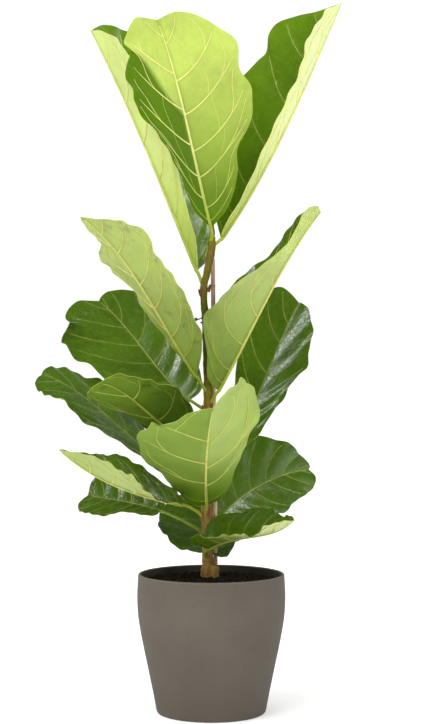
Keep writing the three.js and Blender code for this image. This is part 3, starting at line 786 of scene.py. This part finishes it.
def node_scale(place, lean, length):
    """A dry brown scale left at a node: a thin curled sliver."""
    scale = new_piece(bpy.ops.mesh.primitive_grid_add, x_subdivisions=6, y_subdivisions=12, size=2)
    flat = mesh_points(scale)
    share = (flat[:, 1] + 1) / 2
    width = SCALE_HALF_WIDTH * np.sqrt(np.clip(1 - share ** 2, 0, 1)) * (0.75 + 0.25 * share)
    x = flat[:, 0] * width
    curl = 0.22 * x ** 2 - 1.6 * share ** 2 * np.sin(3 * share)
    tilt = math.radians(lean)
    z = share * length
    set_points(scale, np.column_stack([
        place[0] + x * math.cos(tilt) - z * math.sin(tilt),
        place[1] + curl,
        place[2] + z * math.cos(tilt) + x * math.sin(tilt),
    ]) * MM)
    apply_modifier(scale, "SOLIDIFY", thickness=SCALE_THICKNESS * MM, offset=0)
    return scale


def scale_finish(colour):
    finish = Finish("node_scale", 0.6, 0.3)
    streak = finish.noise(300, 4, finish.place(scale=(3, 3, 0.5)))
    finish.colour(finish.shades(streak, 0.35, 0.7, colour, 0.5, 1.5))
    finish.bump(streak, 0.3)
    return finish.material


def build_trunk():
    bark = bark_finish(colour_of("bark"), colour_of("old_bark"))
    wood = [trunk_body(), stump_body()]
    for piece in wood:
        use_material(piece, bark)
    dry = scale_finish(colour_of("bud"))
    scales = [node_scale((x, y, z), lean, length) for x, y, z, lean, length in SCALES]
    for piece in scales:
        use_material(piece, dry)
    trunk = join_pieces([*wood, *scales])
    shade_smooth(trunk, 50)
    stand_for(trunk, "bark_trunk", "trunk")


def cane_finish(colour):
    finish = Finish("cane", 0.5, 0.4)
    streak = finish.noise(120, 4, finish.place(scale=(6, 6, 0.35)))
    blotch = finish.noise(30, 2)
    body = finish.shades(streak, 0.35, 0.65, colour, 0.72, 1.15)
    body = finish.mix(finish.ramp(blotch, 0.45, 0.7), body, tone(colour, 0.8))
    body = finish.mix(finish.attribute("ring"), body, tone(colour, 0.4))
    finish.colour(body)
    finish.bump(streak, 0.2)
    return finish.material


def build_cane():
    line = np.linspace(CANE_FOOT, CANE_HEAD, CANE_ROWS)
    radii = CANE_RADIUS + RING_HEIGHT * nearness(line[:, 2], CANE_RINGS, RING_WIDTH)
    radii[-1] = CANE_END_RADIUS
    cane = tubes("cane_rod", [(line, radii)], 6)
    over_ring = mesh_points(cane)[:, 2] / MM - 1.4
    add_attribute(cane, "ring", 0.8 * nearness(over_ring, CANE_RINGS, 0.9))
    use_material(cane, cane_finish(colour_of("cane")))
    shade_smooth(cane, 50)
    stand_for(cane, "cane_rod", "cane")


def tie_finish(colour):
    finish = Finish("tie_wire", 0.45, 0.5)
    scuff = finish.noise(500, 3)
    finish.colour(finish.shades(scuff, 0.5, 0.7, colour, 1, 2.2))
    finish.bump(scuff, 0.08)
    return finish.material


def build_tie():
    line = smooth(TIE, TIE_ROWS)
    wire = tubes("wire", [(line, np.full(len(line), TIE_RADIUS))], 4)
    bead = new_piece(bpy.ops.mesh.primitive_uv_sphere_add, segments=20, ring_count=12,
                     radius=BEAD_RADIUS * MM, location=[value * MM for value in BEAD_PLACE],
                     scale=BEAD_STRETCH)
    bpy.ops.object.transform_apply(location=True, rotation=True, scale=True)
    use_material(wire, tie_finish(colour_of("tie")))
    use_material(bead, pot_finish(BEAD_COLOUR))
    tie = join_pieces([wire, bead])
    shade_smooth(tie, 50)
    stand_for(tie, "wire_tie", "plant_tie")


def bud_finish(colour):
    finish = Finish("bud", 0.42, 0.4)
    streak = finish.noise(260, 4, finish.place(scale=(3, 3, 0.4)))
    finish.colour(finish.shades(streak, 0.35, 0.65, colour, 0.55, 1.6))
    finish.bump(streak, 0.3)
    return finish.material


def build_bud():
    bud = turned(smooth(BUD, BUD_ROWS), BUD_STEPS)
    points = mesh_points(bud) / MM
    turn = np.arctan2(points[:, 1], points[:, 0])
    points[:, :2] *= (1 + 0.07 * np.sin(2 * turn + points[:, 2] * 0.35))[:, None]
    points[:, 0] += 0.004 * points[:, 2] ** 2
    set_points(bud, (points + np.array(BUD_PLACE)) * MM)
    use_material(bud, bud_finish(colour_of("bud")))
    shade_smooth(bud, 60)
    stand_for(bud, "tip_bud", "crown_bud")


# Leaf form
def midrib_weights(t):
    return np.stack([
        -4.5 * (t - 1 / 3) * (t - 2 / 3) * (t - 1), 13.5 * t * (t - 2 / 3) * (t - 1),
        -13.5 * t * (t - 1 / 3) * (t - 1), 4.5 * t * (t - 1 / 3) * (t - 2 / 3),
    ], axis=-1)


def spine(leaf, s):
    """Place and directions on a midrib at shares s of its length; past an end it runs straight."""
    share = np.clip(s, 0, 1)
    points = np.array(leaf["midrib"], float)
    step = 1e-4
    slope = (midrib_weights(share + step) - midrib_weights(share - step)) @ points / (2 * step)
    place = midrib_weights(share) @ points + slope * (s - share)[:, None]
    along = unit(slope)
    start, end = unit(np.array(leaf["face"], float))
    up = start + (end - start) * share[:, None]
    up = unit(up - along * (up * along).sum(axis=1, keepdims=True))
    return place, along, up, np.cross(along, up)


def angle_at(knots, t):
    if len(knots) == 2:
        return knots[0] + (knots[1] - knots[0]) * np.clip(t, 0, 1)
    return through(knots, t)[:, 0]


def half_shape(leaf, side, w):
    """Half width in mm and reach along the midrib of one half's outline."""
    shape = leaf["left"] if side < 0 else leaf["right"]
    if not isinstance(shape, list):
        shape = [(x * shape, y) for x, y in PLAIN_OUTLINE]
    return through([(0, 0), *shape, (0, 1)], w).T


def half_width_at(leaf, side, u, w):
    """The outline's half width, in the form that by_side calls."""
    return half_shape(leaf, side, w)[0]


def blade_length(leaf):
    return np.linalg.norm(np.diff(np.array(leaf["midrib"], float), axis=0), axis=1).sum()


def wave(leaf, side, w, form):
    """One kind of wave along a half, from -1 to 1."""
    turns, seed_shift, side_shift = form
    return np.sin(turns * math.pi * w + seed_shift * leaf["seed"] + side_shift * side)


def half_surface(leaf, side, u, w):
    """Points of one half, from the midrib (u = 0) to the margin (u = 1), and their flat places."""
    half_width, reach = half_shape(leaf, side, w)
    start = w * (0.7 + 0.3 * w)
    s = start + (reach - start) * u ** 1.35
    r = half_width * u * (1 + SCALLOP_DEPTH * u * wave(leaf, side, w, SCALLOPS))
    place, _, up, across = spine(leaf, s)
    fold = np.radians(angle_at(leaf["fold_left"] if side < 0 else leaf["fold_right"], s))
    swell = wave(leaf, side, w, WAVES) + 0.5 * wave(leaf, side, w, SMALL_WAVES)
    narrow = np.minimum(half_width / 60, 1)
    lift = leaf["wave"] * u * u * narrow * swell
    lift += sizes().ripple_height / MM * u ** 4 * narrow * wave(leaf, side, w, RIPPLES)
    outward = across * side
    points = (place + outward * (r * np.cos(fold) - lift * np.sin(fold))[:, None]
              + up * (r * np.sin(fold) + lift * np.cos(fold))[:, None])
    return points, np.column_stack([side * r, s])


def surface(leaf, v, w):
    """Points of a blade's middle surface: v from the left margin (-1) to the right one (1)."""
    left = half_surface(leaf, -1, np.abs(v), w)
    right = half_surface(leaf, 1, np.abs(v), w)
    is_left = (v < 0)[:, None]
    return np.where(is_left, left[0], right[0]), np.where(is_left, left[1], right[1])


def surface_normal(leaf, v, w):
    """Which way the upper face looks."""
    step = 0.012
    w = np.clip(w, 0.01, 0.99)
    right, left = np.minimum(v + step, 1), np.maximum(v - step, -1)
    across = surface(leaf, right, w)[0] - surface(leaf, left, w)[0]
    ahead = surface(leaf, v, w + step)[0] - surface(leaf, v, w - step)[0]
    return unit(np.cross(across, ahead))


def vein_starts(leaf, side):
    """Where the side veins of one half leave the midrib, and so the rows that they follow."""
    rng = np.random.default_rng(leaf["seed"] * 10 + side + 1)
    shift = 0.03 * (1 if side > 0 else 0)
    starts = np.array(FEW_STARTS if leaf["name"] in FEW_VEINS else VEIN_STARTS)
    jitter = rng.uniform(-0.018, 0.018, len(starts))
    return np.clip(starts + shift + jitter, 0.02, 0.97)


def vein_row(start, u):
    """The row that a side vein has come to at u: it bends a little towards the tip."""
    return np.minimum(start + VEIN_BEND * u ** BEND_POWER * (1 - start), 0.992)


def quilting(leaf, side, u, w):
    """How far the blade puffs up between its side veins, from 0 to 1."""
    marks = np.concatenate([[-0.03], vein_starts(leaf, side), [1.02]])
    bend = VEIN_BEND * u ** BEND_POWER
    row = (w - bend) / (1 - bend)
    k = np.clip(np.searchsorted(marks, row) - 1, 0, len(marks) - 2)
    share = np.clip((row - marks[k]) / (marks[k + 1] - marks[k]), 0, 1)
    return np.sin(math.pi * share) ** 1.4 * (1 - (1 - u) ** 5) * (1 - u ** 6)


def vein_glow(leaf, side, u, w):
    """How close a place is to a vein or the margin, from 0 to 1."""
    gap = np.abs(w[:, None] - vein_row(vein_starts(leaf, side)[None], u[:, None])).min(axis=1)
    side_vein = np.exp(-(gap * blade_length(leaf) / 2.2) ** 2) * (1 - 0.7 * u)
    midrib = np.exp(-(half_width_at(leaf, side, u, w) * u / 3) ** 2)
    return np.clip(np.maximum(side_vein, midrib), 0, 1)


def shade_and_light_shares(leaf):
    return UNDER_SHADE_AND_LIGHT.get(leaf["name"], PLAIN_SHADE_AND_LIGHT)


def painted_shade_share(leaf, v, w, s):
    """How much painted shade, in dark green, the underside takes at a place, from 0 to 1."""
    near_stalk, everywhere, _ = shade_and_light_shares(leaf)
    deep = np.maximum(near_stalk * np.clip(1 - s / 0.75, 0, 1), everywhere)
    if leaf["name"] in PAINTED_SHADE_HALVES:
        side, row_in, row_out, share = PAINTED_SHADE_HALVES[leaf["name"]]
        edge = row_in + (row_out - row_in) * np.abs(v)
        below = np.clip((edge - w) / 0.04, 0, 1) * np.clip(side * v / 0.06, 0, 1)
        deep = np.maximum(deep, share * below)
    return deep


def by_side(function, leaf, v, w):
    """A value of each half, taken where v is on its side."""
    return np.where(v < 0, function(leaf, -1, np.abs(v), w), function(leaf, 1, np.abs(v), w))


# Leaf pieces
def blade_piece(leaf):
    """The blade: a grid whose rows follow the side veins, laid on the leaf's surface."""
    blade = new_piece(bpy.ops.mesh.primitive_grid_add, x_subdivisions=BLADE_COLUMNS,
                      y_subdivisions=BLADE_ROWS, size=2)
    flat = mesh_points(blade)
    v, w = flat[:, 0], (flat[:, 1] + 1) / 2
    points, unrolled = surface(leaf, v, w)
    puff = by_side(quilting, leaf, v, w) * np.minimum(by_side(half_width_at, leaf, v, w) / 50, 1)
    height = sizes().quilt_height / MM * puff
    set_points(blade, (points + surface_normal(leaf, v, w) * height[:, None]) * MM)
    out, along = unrolled.T
    # Nearness to the veins: for a lighter band on the upper side and painted shade beside the veins
    # below
    add_attribute(blade, "vein_glow", by_side(vein_glow, leaf, v, w))
    # Painted shade in dark green on the underside: near the stalk, on halves and on whole leaves in
    # shade
    add_attribute(blade, "deep", painted_shade_share(leaf, v, w, along))
    # Painted light on the underside: paler towards the tip
    add_attribute(blade, "pale", shade_and_light_shares(leaf)[2] * np.clip(along / 0.5, 0, 1))
    sheet = np.column_stack([0.5 + out / UNROLLED, along * blade_length(leaf) / UNROLLED])
    corners = np.zeros(len(blade.data.loops), int)
    blade.data.loops.foreach_get("vertex_index", corners)
    blade.data.uv_layers.active.data.foreach_set("uv", sheet[corners].ravel())
    edit_all(blade, lambda: bpy.ops.mesh.remove_doubles(threshold=2e-5))
    return blade


def on_surface(leaf, v, w, centre):
    """A line of points for a vein, at heights over the blade's middle surface."""
    return surface(leaf, v, w)[0] + surface_normal(leaf, v, w) * np.reshape(centre, (-1, 1))


def rib_line(leaf):
    """Stalk and midrib in one: out of the trunk, then along the blade."""
    node = np.array(leaf["node"], float)
    base, along = (part[0] for part in spine(leaf, np.zeros(1))[:2])
    bend = base - 0.45 * np.linalg.norm(base - node) * along
    t = np.linspace(0, 1, STALK_ROWS)[:-1, None]
    stalk = node * (1 - t) ** 2 + bend * 2 * t * (1 - t) + base * t * t
    s = np.linspace(0, 0.97, RIB_ROWS)
    place, _, up, _ = spine(leaf, s)
    thick = sizes().stalk_radius / MM
    radii = thick * (1 - s) ** 0.8 + VEIN_END
    rib = place - up * (np.minimum(radii * 0.62, radii - 0.5))[:, None]
    stalk_radii = thick + VEIN_END + 0.9 * (1 - t[:, 0]) ** 4
    return np.vstack([stalk, rib]), np.concatenate([stalk_radii, radii])


def side_vein_lines(leaf, side):
    """Side veins, with forks and small cross veins between them where the blade is broad."""
    rng = np.random.default_rng(leaf["seed"] * 100 + side + 5)
    starts = vein_starts(leaf, side)
    broad = half_shape(leaf, side, starts)[0] > BROAD_BLADE
    half = sizes().blade_thickness / MM / 2
    lines = []

    def add(u, w, thick, thin):
        radii = np.linspace(thick, thin, len(u))
        lines.append((on_surface(leaf, side * u, w, half + VEIN_PROUD - radii), radii))

    def add_below(u, w):
        radii = np.full(len(u), CROSS_VEIN)
        lines.append((on_surface(leaf, side * u, w, np.full(len(u), -half)), radii))

    for start, after, is_broad in zip(starts, [*starts[1:], 1], broad):
        u = np.linspace(0, 0.9, VEIN_ROWS)
        add(u, vein_row(start, u), BROAD_VEIN if is_broad else SLIM_VEIN, VEIN_END)
        if not is_broad:
            continue
        fork = rng.uniform(0.5, 0.66)
        u = np.linspace(fork, rng.uniform(0.86, 0.93), FORK_ROWS)
        rise = (u - fork) / (u[-1] - fork)
        row = vein_row(start, u) + 0.6 * (after - start) * rise ** 1.6
        add(u, np.clip(row, 0, 0.995), *FORK_RADII)
        if leaf["name"] in FEW_VEINS:
            continue
        rise = np.linspace(0, 1, CROSS_ROWS)
        u = rng.uniform(0.32, 0.5) + 0.02 * np.sin(5 * rise + 9 * fork) + 0.04 * rise
        add_below(u, np.clip(vein_row(start, u) + (after - start) * rise, 0.01, 0.99))
    return lines


def vein_depth(leaf, points):
    """How green a vein is, from 0 at mid blade to 1 at the blade's base, and no less than the painted
    shade all over of a leaf in shade.
    """
    base, tip = np.array(leaf["midrib"], float)[[0, -1]]
    share = (points - base) @ (tip - base) / ((tip - base) @ (tip - base))
    return np.clip(np.maximum(1 - share / 0.5, shade_and_light_shares(leaf)[1]), 0, 1)


def leaf_piece(leaf, finishes):
    blade = blade_piece(leaf)
    under = "spotted" if leaf["name"] in SPOTTED_LEAVES else "under"
    use_material(blade, finishes["upper"], finishes[under], finishes["margin"])
    apply_modifier(blade, "SOLIDIFY", thickness=sizes().blade_thickness, offset=0,
                   material_offset=1, material_offset_rim=2)
    rib = tubes("rib", [rib_line(leaf)], 4)
    veins = tubes("veins", [*side_vein_lines(leaf, -1), *side_vein_lines(leaf, 1)], 1)
    for piece in (rib, veins):
        use_material(piece, finishes["vein"])
        # Veins greener towards the blade's base, with painted shade on a leaf in shade
        add_attribute(piece, "deep", vein_depth(leaf, mesh_points(piece) / MM))
    made = join_pieces([blade, rib, veins])
    shade_smooth(made, 55)
    return made


# Leaf finishes
def leaf_net(finish):
    """Coarse and fine nets of veins over the unrolled leaf, from 0 in a cell to 1 and 0.5 on a vein."""
    place = finish.place("UV")
    bend = finish.node("ShaderNodeTexNoise", {"Vector": place, "Scale": 60}).outputs["Color"]
    moved = finish.mix(0.012, place, bend, "ADD")
    to_large, to_small = (
        finish.node("ShaderNodeTexVoronoi", {"Vector": moved, "Scale": scale},
                    feature="DISTANCE_TO_EDGE").outputs["Distance"] for scale in (62, 190))
    coarse = finish.ramp(to_large, 0.09, 0.0)
    return coarse, finish.math("MULTIPLY", finish.ramp(to_small, 0.12, 0.0), 0.5)


def blade_finish(name, colour, vein_colour, halo_and_shade, look):
    """One face of a blade; halo tints it along its veins (a lighter band on the upper side, painted
    shade beside the veins on the underside), and look holds the rest of its own traits.
    """
    roughness, puff = look["roughness"], look["puff"]
    finish = Finish(name, roughness, look["specular"])
    finish.let_light_through(look["through"], LIGHT_REACH)
    coarse, fine = leaf_net(finish)
    patch = finish.noise(16, 3)
    mottle = finish.noise(90, 3)
    body = finish.shades(patch, 0.3, 0.7, colour, 0.82, 1.18)
    body = finish.mix(finish.ramp(mottle, 0.35, 0.7, 0, 0.35), body, tone(colour, 1.3))
    net = finish.math("MULTIPLY", finish.math("MAXIMUM", coarse, fine), look["net"])
    body = finish.mix(net, body, vein_colour)
    spots = finish.ramp(finish.noise(55, 4, roughness=0.65), 0.57, 0.66, 0, look["spots"])
    body = finish.mix(spots, body, LEAF_SPOT)
    # Painted light: the underside paler towards the tip
    body = finish.mix(finish.attribute("pale", look["depth"]), body, PAINTED_LIGHT_GREEN)
    # Painted shade: dark green near the stalk, on shaded halves and on leaves in shade
    body = finish.mix(finish.attribute("deep", look["depth"]), body, PAINTED_SHADE_GREEN, "MULTIPLY")
    # Beside the veins: a lighter band on the upper side, painted shade on the underside
    glow = finish.attribute("vein_glow", look["glow"])
    finish.colour(finish.mix(glow, body, halo_and_shade, "MULTIPLY" if look["depth"] else "MIX"))
    finish.roughness(finish.ramp(mottle, 0.3, 0.7, roughness - 0.05, roughness + 0.08))
    finish.bump(coarse, puff)
    finish.bump(mottle, 0.12)
    return finish.material


def vein_finish(name, colour, roughness):
    finish = Finish(name, roughness, 0.35)
    streak = finish.noise(80, 3)
    body = finish.shades(streak, 0.3, 0.7, colour, 0.85, 1.12)
    # Greener towards the blade's base, with painted shade on a leaf in shade
    finish.colour(finish.mix(finish.attribute("deep"), body, STALK_GREEN, "MULTIPLY"))
    finish.bump(streak, 0.2)
    return finish.material


def leaf_finishes(age):
    upper, under, vein = (colour_of(f"{age}_{part}") for part in ("upper", "under", "vein"))
    return {
        "upper": blade_finish(f"{age}_leaf_upper", upper, vein, tone(vein, 0.8), UPPER_LOOK),
        "under": blade_finish(f"{age}_leaf_under", under, vein, VEIN_SHADE, UNDER_LOOK),
        "spotted": blade_finish(f"{age}_leaf_spotted", under, vein, VEIN_SHADE, SPOTTED_LOOK),
        "margin": vein_finish(f"{age}_leaf_margin", vein, 0.5),
        "vein": vein_finish(f"{age}_leaf_vein", vein, 0.42),
    }


def build_leaves(age):
    finishes = leaf_finishes(age)
    for leaf in LEAVES:
        if leaf["age"] == age:
            name = leaf["name"].replace("leaf_", "") + "_leaf"
            stand_for(leaf_piece(leaf, finishes), name, leaf["name"])


# Stage
def soft_light(name, place, target, size, power, glossy=True, diffuse=True):
    light = bpy.data.lights.new(name, "AREA")
    light.shape = "DISK"
    light.size = size
    light.energy = power
    lamp = new_object(name, light)
    lamp.location = place
    lamp.rotation_euler = (Vector(target) - Vector(place)).to_track_quat("-Z", "Y").to_euler()
    lamp.visible_camera = False
    lamp.visible_glossy = glossy
    lamp.visible_diffuse = diffuse


def sun_light(name, place, strength):
    light = bpy.data.lights.new(name, "SUN")
    light.energy = strength
    light.angle = SUN_ANGLE
    lamp = new_object(name, light)
    lamp.rotation_euler = Vector(place).to_track_quat("Z", "Y").to_euler()
    lamp.visible_glossy = False


def room_world(backdrop, room):
    """A plain white backdrop, and for the light a low white band behind the plant in a dim room."""
    world = bpy.data.worlds.new("studio")
    world.use_nodes = True
    nodes = Nodes(world.node_tree)
    direction = nodes.node("ShaderNodeTexCoord").outputs["Generated"]
    _, depth, height = nodes.node("ShaderNodeSeparateXYZ", {"Vector": direction}).outputs
    behind = nodes.ramp(depth, -0.1, 0.6, 0, 1, "SMOOTHSTEP")
    low_down = nodes.ramp(height, 0.25, 0.6, 1, 0, "SMOOTHSTEP")
    band = nodes.math("MULTIPLY", behind, low_down)
    light = nodes.math("MULTIPLY_ADD", band, backdrop - room, room)
    path = nodes.node("ShaderNodeLightPath").outputs
    shine = nodes.math("MULTIPLY", light, path["Is Glossy Ray"])
    light = nodes.math("MULTIPLY_ADD", shine, GLOSSY_ROOM - 1, light)
    seen = nodes.math("MULTIPLY", path["Is Camera Ray"], backdrop)
    background = world.node_tree.nodes["Background"]
    background.inputs["Color"].default_value = (1, 1, 1, 1)
    nodes.put(background.inputs["Strength"], nodes.math("MAXIMUM", light, seen))
    return world


def build_stage():
    lights = bpy.context.scene.fig_lights
    floor = new_piece(bpy.ops.mesh.primitive_plane_add, size=2 * FLOOR_HALF)
    floor.name = "floor"
    finish = Finish("floor", 0.9, 0.1)
    finish.colour((*colour_of("floor"), 1))
    finish.shader.inputs["Emission Color"].default_value = (1, 1, 1, 1)
    finish.shader.inputs["Emission Strength"].default_value = FLOOR_GLOW
    use_material(floor, finish.material)
    bpy.context.scene.world = room_world(lights.backdrop, lights.room)
    sun_light("key_light", SUN_FROM, lights.key)
    soft_light("fill_light", *FILL_LAMP, lights.fill, glossy=False)
    soft_light("top_light", *TOP_LAMP, lights.top, glossy=False)
    for lamp in GLINT_LAMPS:
        soft_light("glint_light", *lamp, lights.glint, diffuse=False)
    camera = new_object("camera", bpy.data.cameras.new("camera"))
    camera.data.lens = CAMERA_LENS
    camera.location = CAMERA_PLACE
    camera.rotation_euler = (math.pi / 2, 0, 0)
    bpy.context.scene.camera = camera
    bpy.context.scene.view_settings.view_transform = "Standard"


# Settings
def colour_property(name, description, default):
    return bpy.props.FloatVectorProperty(name=name, description=description, default=default,
                                         subtype="COLOR", min=0, max=1)


def length_property(name, description, default):
    return bpy.props.FloatProperty(name=name, description=description, default=default, min=0,
                                   unit="LENGTH", subtype="DISTANCE", precision=4)


def level_property(name, description, default, unit="NONE"):
    return bpy.props.FloatProperty(name=name, description=description, default=default, min=0, unit=unit)


class FigSizes(bpy.types.PropertyGroup):
    """Sizes of the leaves, and how much loose soil there is"""

    blade_thickness: length_property("Blade thickness", "Thickness of a leaf blade", 0.0006)
    quilt_height: length_property("Quilting", "How far a blade puffs up between its veins", 0.0017)
    ripple_height: length_property("Margin ripple", "Height of the small waves at a margin", 0.0014)
    stalk_radius: length_property("Stalk radius", "Radius of a leaf stalk less its vein end", 0.0017)
    soil_grain_count: bpy.props.IntProperty(
        name="Soil grains", description="How many loose grains lie on the soil", default=2600, min=0)


class FigColours(bpy.types.PropertyGroup):
    """Colours of the plant, its pot, the soil and the floor"""

    young_upper: colour_property("Young leaf, upper", "Upper side of crown leaves", (0.12, 0.24, 0.002))
    young_under: colour_property("Young leaf, under", "Underside of crown leaves", (0.48, 0.62, 0.09))
    young_vein: colour_property("Young leaf, veins", "Veins of crown leaves", (0.85, 0.82, 0.28))
    grown_upper: colour_property("Grown leaf, upper", "Upper side of middle leaves", (0.07, 0.15, 0.002))
    grown_under: colour_property("Grown leaf, under", "Underside of middle leaves", (0.36, 0.48, 0.09))
    grown_vein: colour_property("Grown leaf, veins", "Veins of middle leaves", (0.72, 0.68, 0.2))
    old_upper: colour_property("Old leaf, upper", "Upper side of low leaves", (0.06, 0.13, 0.002))
    old_under: colour_property("Old leaf, under", "Underside of low leaves", (0.27, 0.35, 0.07))
    old_vein: colour_property("Old leaf, veins", "Veins of low leaves", (0.38, 0.42, 0.1))
    pot: colour_property("Pot", "Body colour of the pot", (0.126, 0.107, 0.086))
    soil: colour_property("Soil", "Colour of the potting soil", (0.014, 0.0105, 0.0075))
    bark: colour_property("Upper bark", "Green bark near the tip", (0.16, 0.2, 0.005))
    old_bark: colour_property("Lower bark", "Brown bark near the soil", (0.46, 0.25, 0.075))
    cane: colour_property("Cane", "Colour of the cane", (0.72, 0.5, 0.3))
    tie: colour_property("Tie", "Coating of the tie wire", (0.012, 0.012, 0.012))
    bud: colour_property("Bud", "Colour of bud and dry scales", (0.24, 0.09, 0.035))
    floor: colour_property("Floor", "Colour of the floor", (0.96, 0.96, 0.96))


class FigLights(bpy.types.PropertyGroup):
    """Brightness of the backdrop, the room and the lamps"""

    backdrop: level_property("Backdrop", "Brightness of the backdrop behind the plant", 1.05)
    room: level_property("Room", "Brightness of the room in front of the plant", 0.26)
    key: level_property("Key light", "Broad soft light from the left", 1.9)
    fill: level_property("Fill light", "Soft light at the front right", 19, "POWER")
    top: level_property("Top light", "Soft light from above", 19, "POWER")
    glint: level_property("Glints", "Lamps that only show as shine on the leaves", 11, "POWER")


GROUPS = {"fig_sizes": FigSizes, "fig_colours": FigColours, "fig_lights": FigLights}


# Operators
class FIG_OT_pot(bpy.types.Operator):
    """Builds the tapered stone-grey pot"""

    bl_idname = "fig.pot"
    bl_label = "Pot"

    def execute(self, context):
        build_pot()
        return {"FINISHED"}


class FIG_OT_soil(bpy.types.Operator):
    """Fills the pot with dark loose soil"""

    bl_idname = "fig.soil"
    bl_label = "Soil"

    def execute(self, context):
        build_soil()
        return {"FINISHED"}


class FIG_OT_trunk(bpy.types.Operator):
    """Builds the scarred trunk and the stump that it stands in"""

    bl_idname = "fig.trunk"
    bl_label = "Trunk"

    def execute(self, context):
        build_trunk()
        return {"FINISHED"}


class FIG_OT_cane(bpy.types.Operator):
    """Builds the cane behind the trunk"""

    bl_idname = "fig.cane"
    bl_label = "Cane"

    def execute(self, context):
        build_cane()
        return {"FINISHED"}


class FIG_OT_tie(bpy.types.Operator):
    """Builds the wire tie round trunk and cane"""

    bl_idname = "fig.tie"
    bl_label = "Wire tie"

    def execute(self, context):
        build_tie()
        return {"FINISHED"}


class FIG_OT_bud(bpy.types.Operator):
    """Builds the bud at the growing tip"""

    bl_idname = "fig.bud"
    bl_label = "Bud"

    def execute(self, context):
        build_bud()
        return {"FINISHED"}


class FIG_OT_young_leaves(bpy.types.Operator):
    """Builds the bright leaves of the crown"""

    bl_idname = "fig.young_leaves"
    bl_label = "Young leaves"

    def execute(self, context):
        build_leaves("young")
        return {"FINISHED"}


class FIG_OT_grown_leaves(bpy.types.Operator):
    """Builds the leaves of the middle of the plant"""

    bl_idname = "fig.grown_leaves"
    bl_label = "Grown leaves"

    def execute(self, context):
        build_leaves("grown")
        return {"FINISHED"}


class FIG_OT_old_leaves(bpy.types.Operator):
    """Builds the dark leaves at the back and low down"""

    bl_idname = "fig.old_leaves"
    bl_label = "Old leaves"

    def execute(self, context):
        build_leaves("old")
        return {"FINISHED"}


class FIG_OT_stage(bpy.types.Operator):
    """Sets up the floor, the soft lights and the camera"""

    bl_idname = "fig.stage"
    bl_label = "Stage"

    def execute(self, context):
        build_stage()
        return {"FINISHED"}


OPERATORS = [
    FIG_OT_pot, FIG_OT_soil, FIG_OT_trunk, FIG_OT_cane, FIG_OT_tie, FIG_OT_bud,
    FIG_OT_young_leaves, FIG_OT_grown_leaves, FIG_OT_old_leaves, FIG_OT_stage,
]


class FIG_PT_panel(bpy.types.Panel):
    """Lists the plant's pieces and their settings"""

    bl_label = "Potted Fiddle Leaf Fig"
    bl_idname = "FIG_PT_panel"
    bl_space_type = "VIEW_3D"
    bl_region_type = "UI"
    bl_category = "Fig"

    def draw(self, context):
        for operator in OPERATORS:
            self.layout.operator(operator.bl_idname)
        for group, kind in GROUPS.items():
            for name in kind.__annotations__:
                self.layout.prop(getattr(context.scene, group), name)


CLASSES = [*GROUPS.values(), *OPERATORS, FIG_PT_panel]


def register():
    for made in CLASSES:
        bpy.utils.register_class(made)
    for group, kind in GROUPS.items():
        setattr(bpy.types.Scene, group, bpy.props.PointerProperty(type=kind))


def unregister():
    for group in GROUPS:
        delattr(bpy.types.Scene, group)
    for made in reversed(CLASSES):
        bpy.utils.unregister_class(made)


def main():
    register()
    for operator in OPERATORS:
        group, name = operator.bl_idname.split(".")
        getattr(getattr(bpy.ops, group), name)()


if __name__ == "__main__":
    main()
